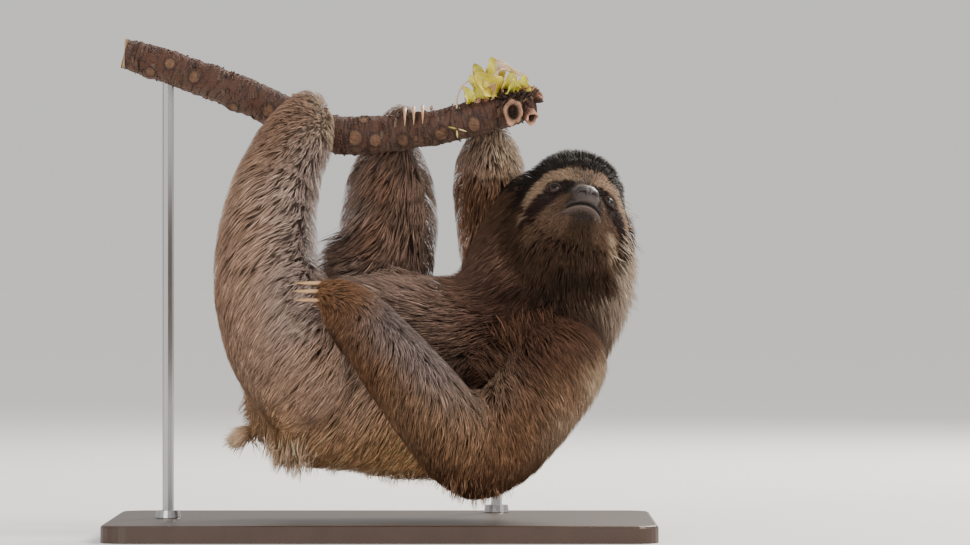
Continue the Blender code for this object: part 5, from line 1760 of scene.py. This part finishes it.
def leaf_tint(number, points, blade, edge):
    """Green blade, pale ragged edge and rib, veins a little darker, and a dry brown tip."""
    ragged = 0.25 * noise(points, 4 * MM, number).reshape(u.shape)
    drying = 0.3 * noise(points, 2 * MM, 40 + number).reshape(u.shape)
    veined = 0.90 + 0.10 * np.cos(2 * np.pi * (VEINS * t - 3 * off_rib))
    pale = smooth_step(off_rib + ragged, 0.55, 1.0)[..., None]
    tint = between(colour(*blade), colour(*edge), pale)
    tint = between(tint, colour(232, 222, 160), 0.35 * bell(u, 0, 0.12)[..., None])
    tint = tint * veined[..., None]
    dry = 0.7 * smooth_step(off_rib + 0.5 * t + drying, 1.1, 1.5)
    return between(tint, colour(150, 92, 48), dry[..., None]).reshape(-1, 3)


for number, (node, x, degrees, tip, width, turn, roll, arch, blade, edge) in enumerate(LEAVES, 1):
    points = leaf_points(number, *leaf_axes(x, degrees, tip, turn, arch), width, roll, arch)
    name = node + "_blade" if node else f"young_leaf_{number}"
    leaf = new_object(name, points, grid_faces(LEAF_ROWS, LEAF_COLUMNS, wrap=False))
    paint(leaf, leaf_tint(number, points, blade, edge))
    wall = leaf.modifiers.new("wall", "SOLIDIFY")
    wall.thickness, wall.offset = LEAF_WALL, 0.0
    if node:
        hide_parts(node)
    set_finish(leaf, "leaf")
    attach(leaf, "root")
print("leaves:", len(LEAVES))

# %% [markdown]
# Every finish starts from the colour its piece carries. Two shader groups do what they all
# share: one makes a colour uneven at a chosen scale, and one gives a fine relief for a bump.

# %% Shader groups
def group(name, inputs, outputs):
    """An empty shader group with named sockets; inputs give (type, default)."""
    tree = bpy.data.node_groups.new(name, "ShaderNodeTree")
    for label, (kind, default) in inputs.items():
        socket = tree.interface.new_socket(label, in_out="INPUT", socket_type="NodeSocket" + kind)
        socket.default_value = default
    for label, kind in outputs.items():
        tree.interface.new_socket(label, in_out="OUTPUT", socket_type="NodeSocket" + kind)
    return tree, tree.nodes.new("NodeGroupInput"), tree.nodes.new("NodeGroupOutput")


def add(tree, kind, feeds, **settings):
    """A node; feeds give an input's value, or the socket that it comes from."""
    node = tree.nodes.new("ShaderNode" + kind)
    for key, value in settings.items():
        setattr(node, key, value)
    for key, value in feeds.items():
        if isinstance(value, bpy.types.NodeSocket):
            tree.links.new(value, node.inputs[key])
        else:
            node.inputs[key].default_value = value
    return node.outputs


uneven_group, given, result = group(
    "uneven_colour",
    {"Color": ("Color", (1, 1, 1, 1)), "Scale": ("Float", 400.0), "Strength": ("Float", 0.3)},
    {"Color": "Color"},
)
place = add(uneven_group, "TexCoord", {})["Object"]
cloud = add(
    uneven_group, "TexNoise",
    {"Vector": place, "Scale": given.outputs["Scale"], "Detail": 3.0, "Roughness": 0.6},
)["Fac"]
swing = add(uneven_group, "Math", {0: cloud, 1: 0.5}, operation="SUBTRACT")[0]
strength = given.outputs["Strength"]
amount = add(uneven_group, "Math", {0: swing, 1: strength}, operation="MULTIPLY")[0]
lift = add(uneven_group, "Math", {0: amount, 1: 1.0}, operation="ADD")[0]
tone = add(
    uneven_group, "VectorMath", {0: given.outputs["Color"], "Scale": lift}, operation="SCALE"
)[0]
uneven_group.links.new(tone, result.inputs["Color"])

relief_group, given, result = group(
    "fine_relief", {"Scale": ("Float", 800.0), "Pores": ("Float", 0.5)}, {"Height": "Float"}
)
at = {"Vector": add(relief_group, "TexCoord", {})["Object"], "Scale": given.outputs["Scale"]}
grain = add(relief_group, "TexNoise", at | {"Detail": 4.0, "Roughness": 0.65})["Fac"]
pores = add(relief_group, "TexVoronoi", at, feature="F1")["Distance"]
relief = add(relief_group, "Mix", {0: given.outputs["Pores"], 2: grain, 3: pores})[0]
relief_group.links.new(relief, result.inputs["Height"])


def finish(
    name, roughness, scale, strength, bump=0.0, bump_scale=900.0, pores=0.5, flat=None, **more
):
    """A material whose colour is the piece's tint or one flat colour, made uneven, with a bump."""
    material = bpy.data.materials.new(name)
    material.use_nodes = True
    tree = material.node_tree
    shader = tree.nodes["Principled BSDF"]
    shader.inputs["Roughness"].default_value = roughness
    for key, value in more.items():
        shader.inputs[key.replace("_", " ")].default_value = value
    if flat is None:
        tint = add(tree, "Attribute", {}, attribute_name="tint")["Color"]
    else:
        tint = (*flat, 1)
    uneven_tint = add(
        tree, "Group", {"Color": tint, "Scale": scale, "Strength": strength}, node_tree=uneven_group
    )
    tree.links.new(uneven_tint["Color"], shader.inputs["Base Color"])
    if bump:
        height = add(tree, "Group", {"Scale": bump_scale, "Pores": pores}, node_tree=relief_group)
        raised = add(tree, "Bump", {"Height": height["Height"], "Strength": 1.0, "Distance": bump})
        tree.links.new(raised["Normal"], shader.inputs["Normal"])
    return material


# %% [markdown]
# Hair is soft and nearly matt, the muzzle is damp leather, eyes are wet and claws are dull
# horn. The bark is dry, the leaves are waxy, the base is oiled dark wood and the rods are
# brushed steel. A new piece takes the finish of the slot that it was given.

# %% Finishes
# roughness, scale and strength of the uneven colour; then the depth and scale of the relief
hair = finish("hair", 0.62, 900.0, 0.35, Specular_IOR_Level=0.17)
under_skin = finish("skin", 0.62, 260.0, 0.4, bump=0.25 * MM, bump_scale=1100.0, pores=0.6)
wood = finish("oiled_wood", 0.42, 60.0, 0.5, flat=colour(62, 44, 34))
steel = finish("brushed_steel", 0.34, 900.0, 0.10, flat=(0.42, 0.42, 0.43), Metallic=1.0)
BY_SLOT = {
    "eye": finish("wet_eye", 0.08, 500.0, 0.2, Specular_IOR_Level=0.24),
    "nose": finish("nose_leather", 0.45, 700.0, 0.4, bump=0.12 * MM, bump_scale=1900.0, pores=0.4),
    "claw": finish("horn", 0.38, 500.0, 0.35, bump=0.10 * MM, bump_scale=700.0, pores=0.1),
    "bark": finish("bark", 0.80, 420.0, 0.6, bump=0.9 * MM, bump_scale=700.0, pores=0.7),
    "leaf": finish("leaf_blade", 0.50, 300.0, 0.35, bump=0.12 * MM, bump_scale=1500.0, pores=0.3),
}

skin.data.materials.append(under_skin)
for piece in coat_pieces:
    piece.data.materials.append(hair)
for obj in bpy.context.scene.objects:
    if obj.get("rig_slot") in BY_SLOT and not obj.data.materials:
        obj.data.materials.append(BY_SLOT[obj["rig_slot"]])
for node, chosen in (("stand_base", wood), ("stand_rod_left", steel), ("stand_rod_right", steel)):
    for slot in nodes[node].material_slots:
        slot.material = chosen
print("materials:", len(bpy.data.materials))

# %% [markdown]
# The camera looks level from the sloth's left side, through a long lens, as one would stand
# back to see it whole. The floor and the air round it are pale. Three soft lights look at it:
# a broad one in front, a stronger one to the front right that models the head and the arm,
# and the warmest behind to the upper right, which edges the back and the head.

# %% Camera, floor and light
PALE = (1.0, 0.985, 0.96, 1)
CAMERA_PLACE, CAMERA_LENS, SENSOR = (0.07175, -4.0, 0.18375), 212.1, 36.0

camera = bpy.data.objects.new("camera", bpy.data.cameras.new("camera"))
camera.location, camera.rotation_euler = CAMERA_PLACE, (np.pi / 2, 0, 0)
camera.data.lens, camera.data.sensor_width = CAMERA_LENS, SENSOR
camera.data.clip_end = 200.0  # past the floor's edge
bpy.context.scene.collection.objects.link(camera)
bpy.context.scene.camera = camera

FLOOR_RADIUS, FLOOR_Z = 60.0, -0.2 * MM  # just clear of the base's underside
FLOOR_ROWS, FLOOR_SIDES = 12, 64
radii = FLOOR_RADIUS * np.linspace(0.02, 1, FLOOR_ROWS)[:, None] ** 2
turn = full_turn(FLOOR_SIDES)
floor_rings = together(radii * np.cos(turn), radii * np.sin(turn), FLOOR_Z)
side = np.arange(FLOOR_SIDES)
hub = together(FLOOR_ROWS * FLOOR_SIDES, side, np.roll(side, -1))
floor = new_object(
    "floor",
    np.vstack([floor_rings.reshape(-1, 3), [(0, 0, FLOOR_Z)]]),
    grid_faces(FLOOR_ROWS, FLOOR_SIDES)[:, ::-1],
    hub,
)
floor.data.materials.append(finish(
    "pale_floor", 0.8, 3.0, 0.05, flat=(0.80, 0.79, 0.77),
    Emission_Color=PALE, Emission_Strength=0.15,
))

world = bpy.data.worlds.new("pale_air")
bpy.context.scene.world = world
world.use_nodes = True
world.node_tree.nodes["Background"].inputs["Color"].default_value = PALE
world.node_tree.nodes["Background"].inputs["Strength"].default_value = 0.75

LIT_PLACE = (0.03, 0.0, 0.18)


def soft_light(name, place, size, power, tone):
    """A square light that looks at the middle of the sloth."""
    lamp = bpy.data.objects.new(name, bpy.data.lights.new(name, "AREA"))
    lamp.data.energy, lamp.data.size, lamp.data.color = power, size, tone
    lamp.location = place
    lamp.rotation_euler = (Vector(place) - Vector(LIT_PLACE)).to_track_quat("Z", "Y").to_euler()
    bpy.context.scene.collection.objects.link(lamp)


soft_light("front_light", (-1.2, -2.4, 0.9), 1.6, 34, (1.0, 0.97, 0.93))
soft_light("side_light", (2.0, -1.1, 1.9), 0.8, 60, (1.0, 0.94, 0.86))
soft_light("rim_light", (1.1, 1.7, 1.6), 1.0, 80, (1.0, 0.92, 0.82))
print("stage set")
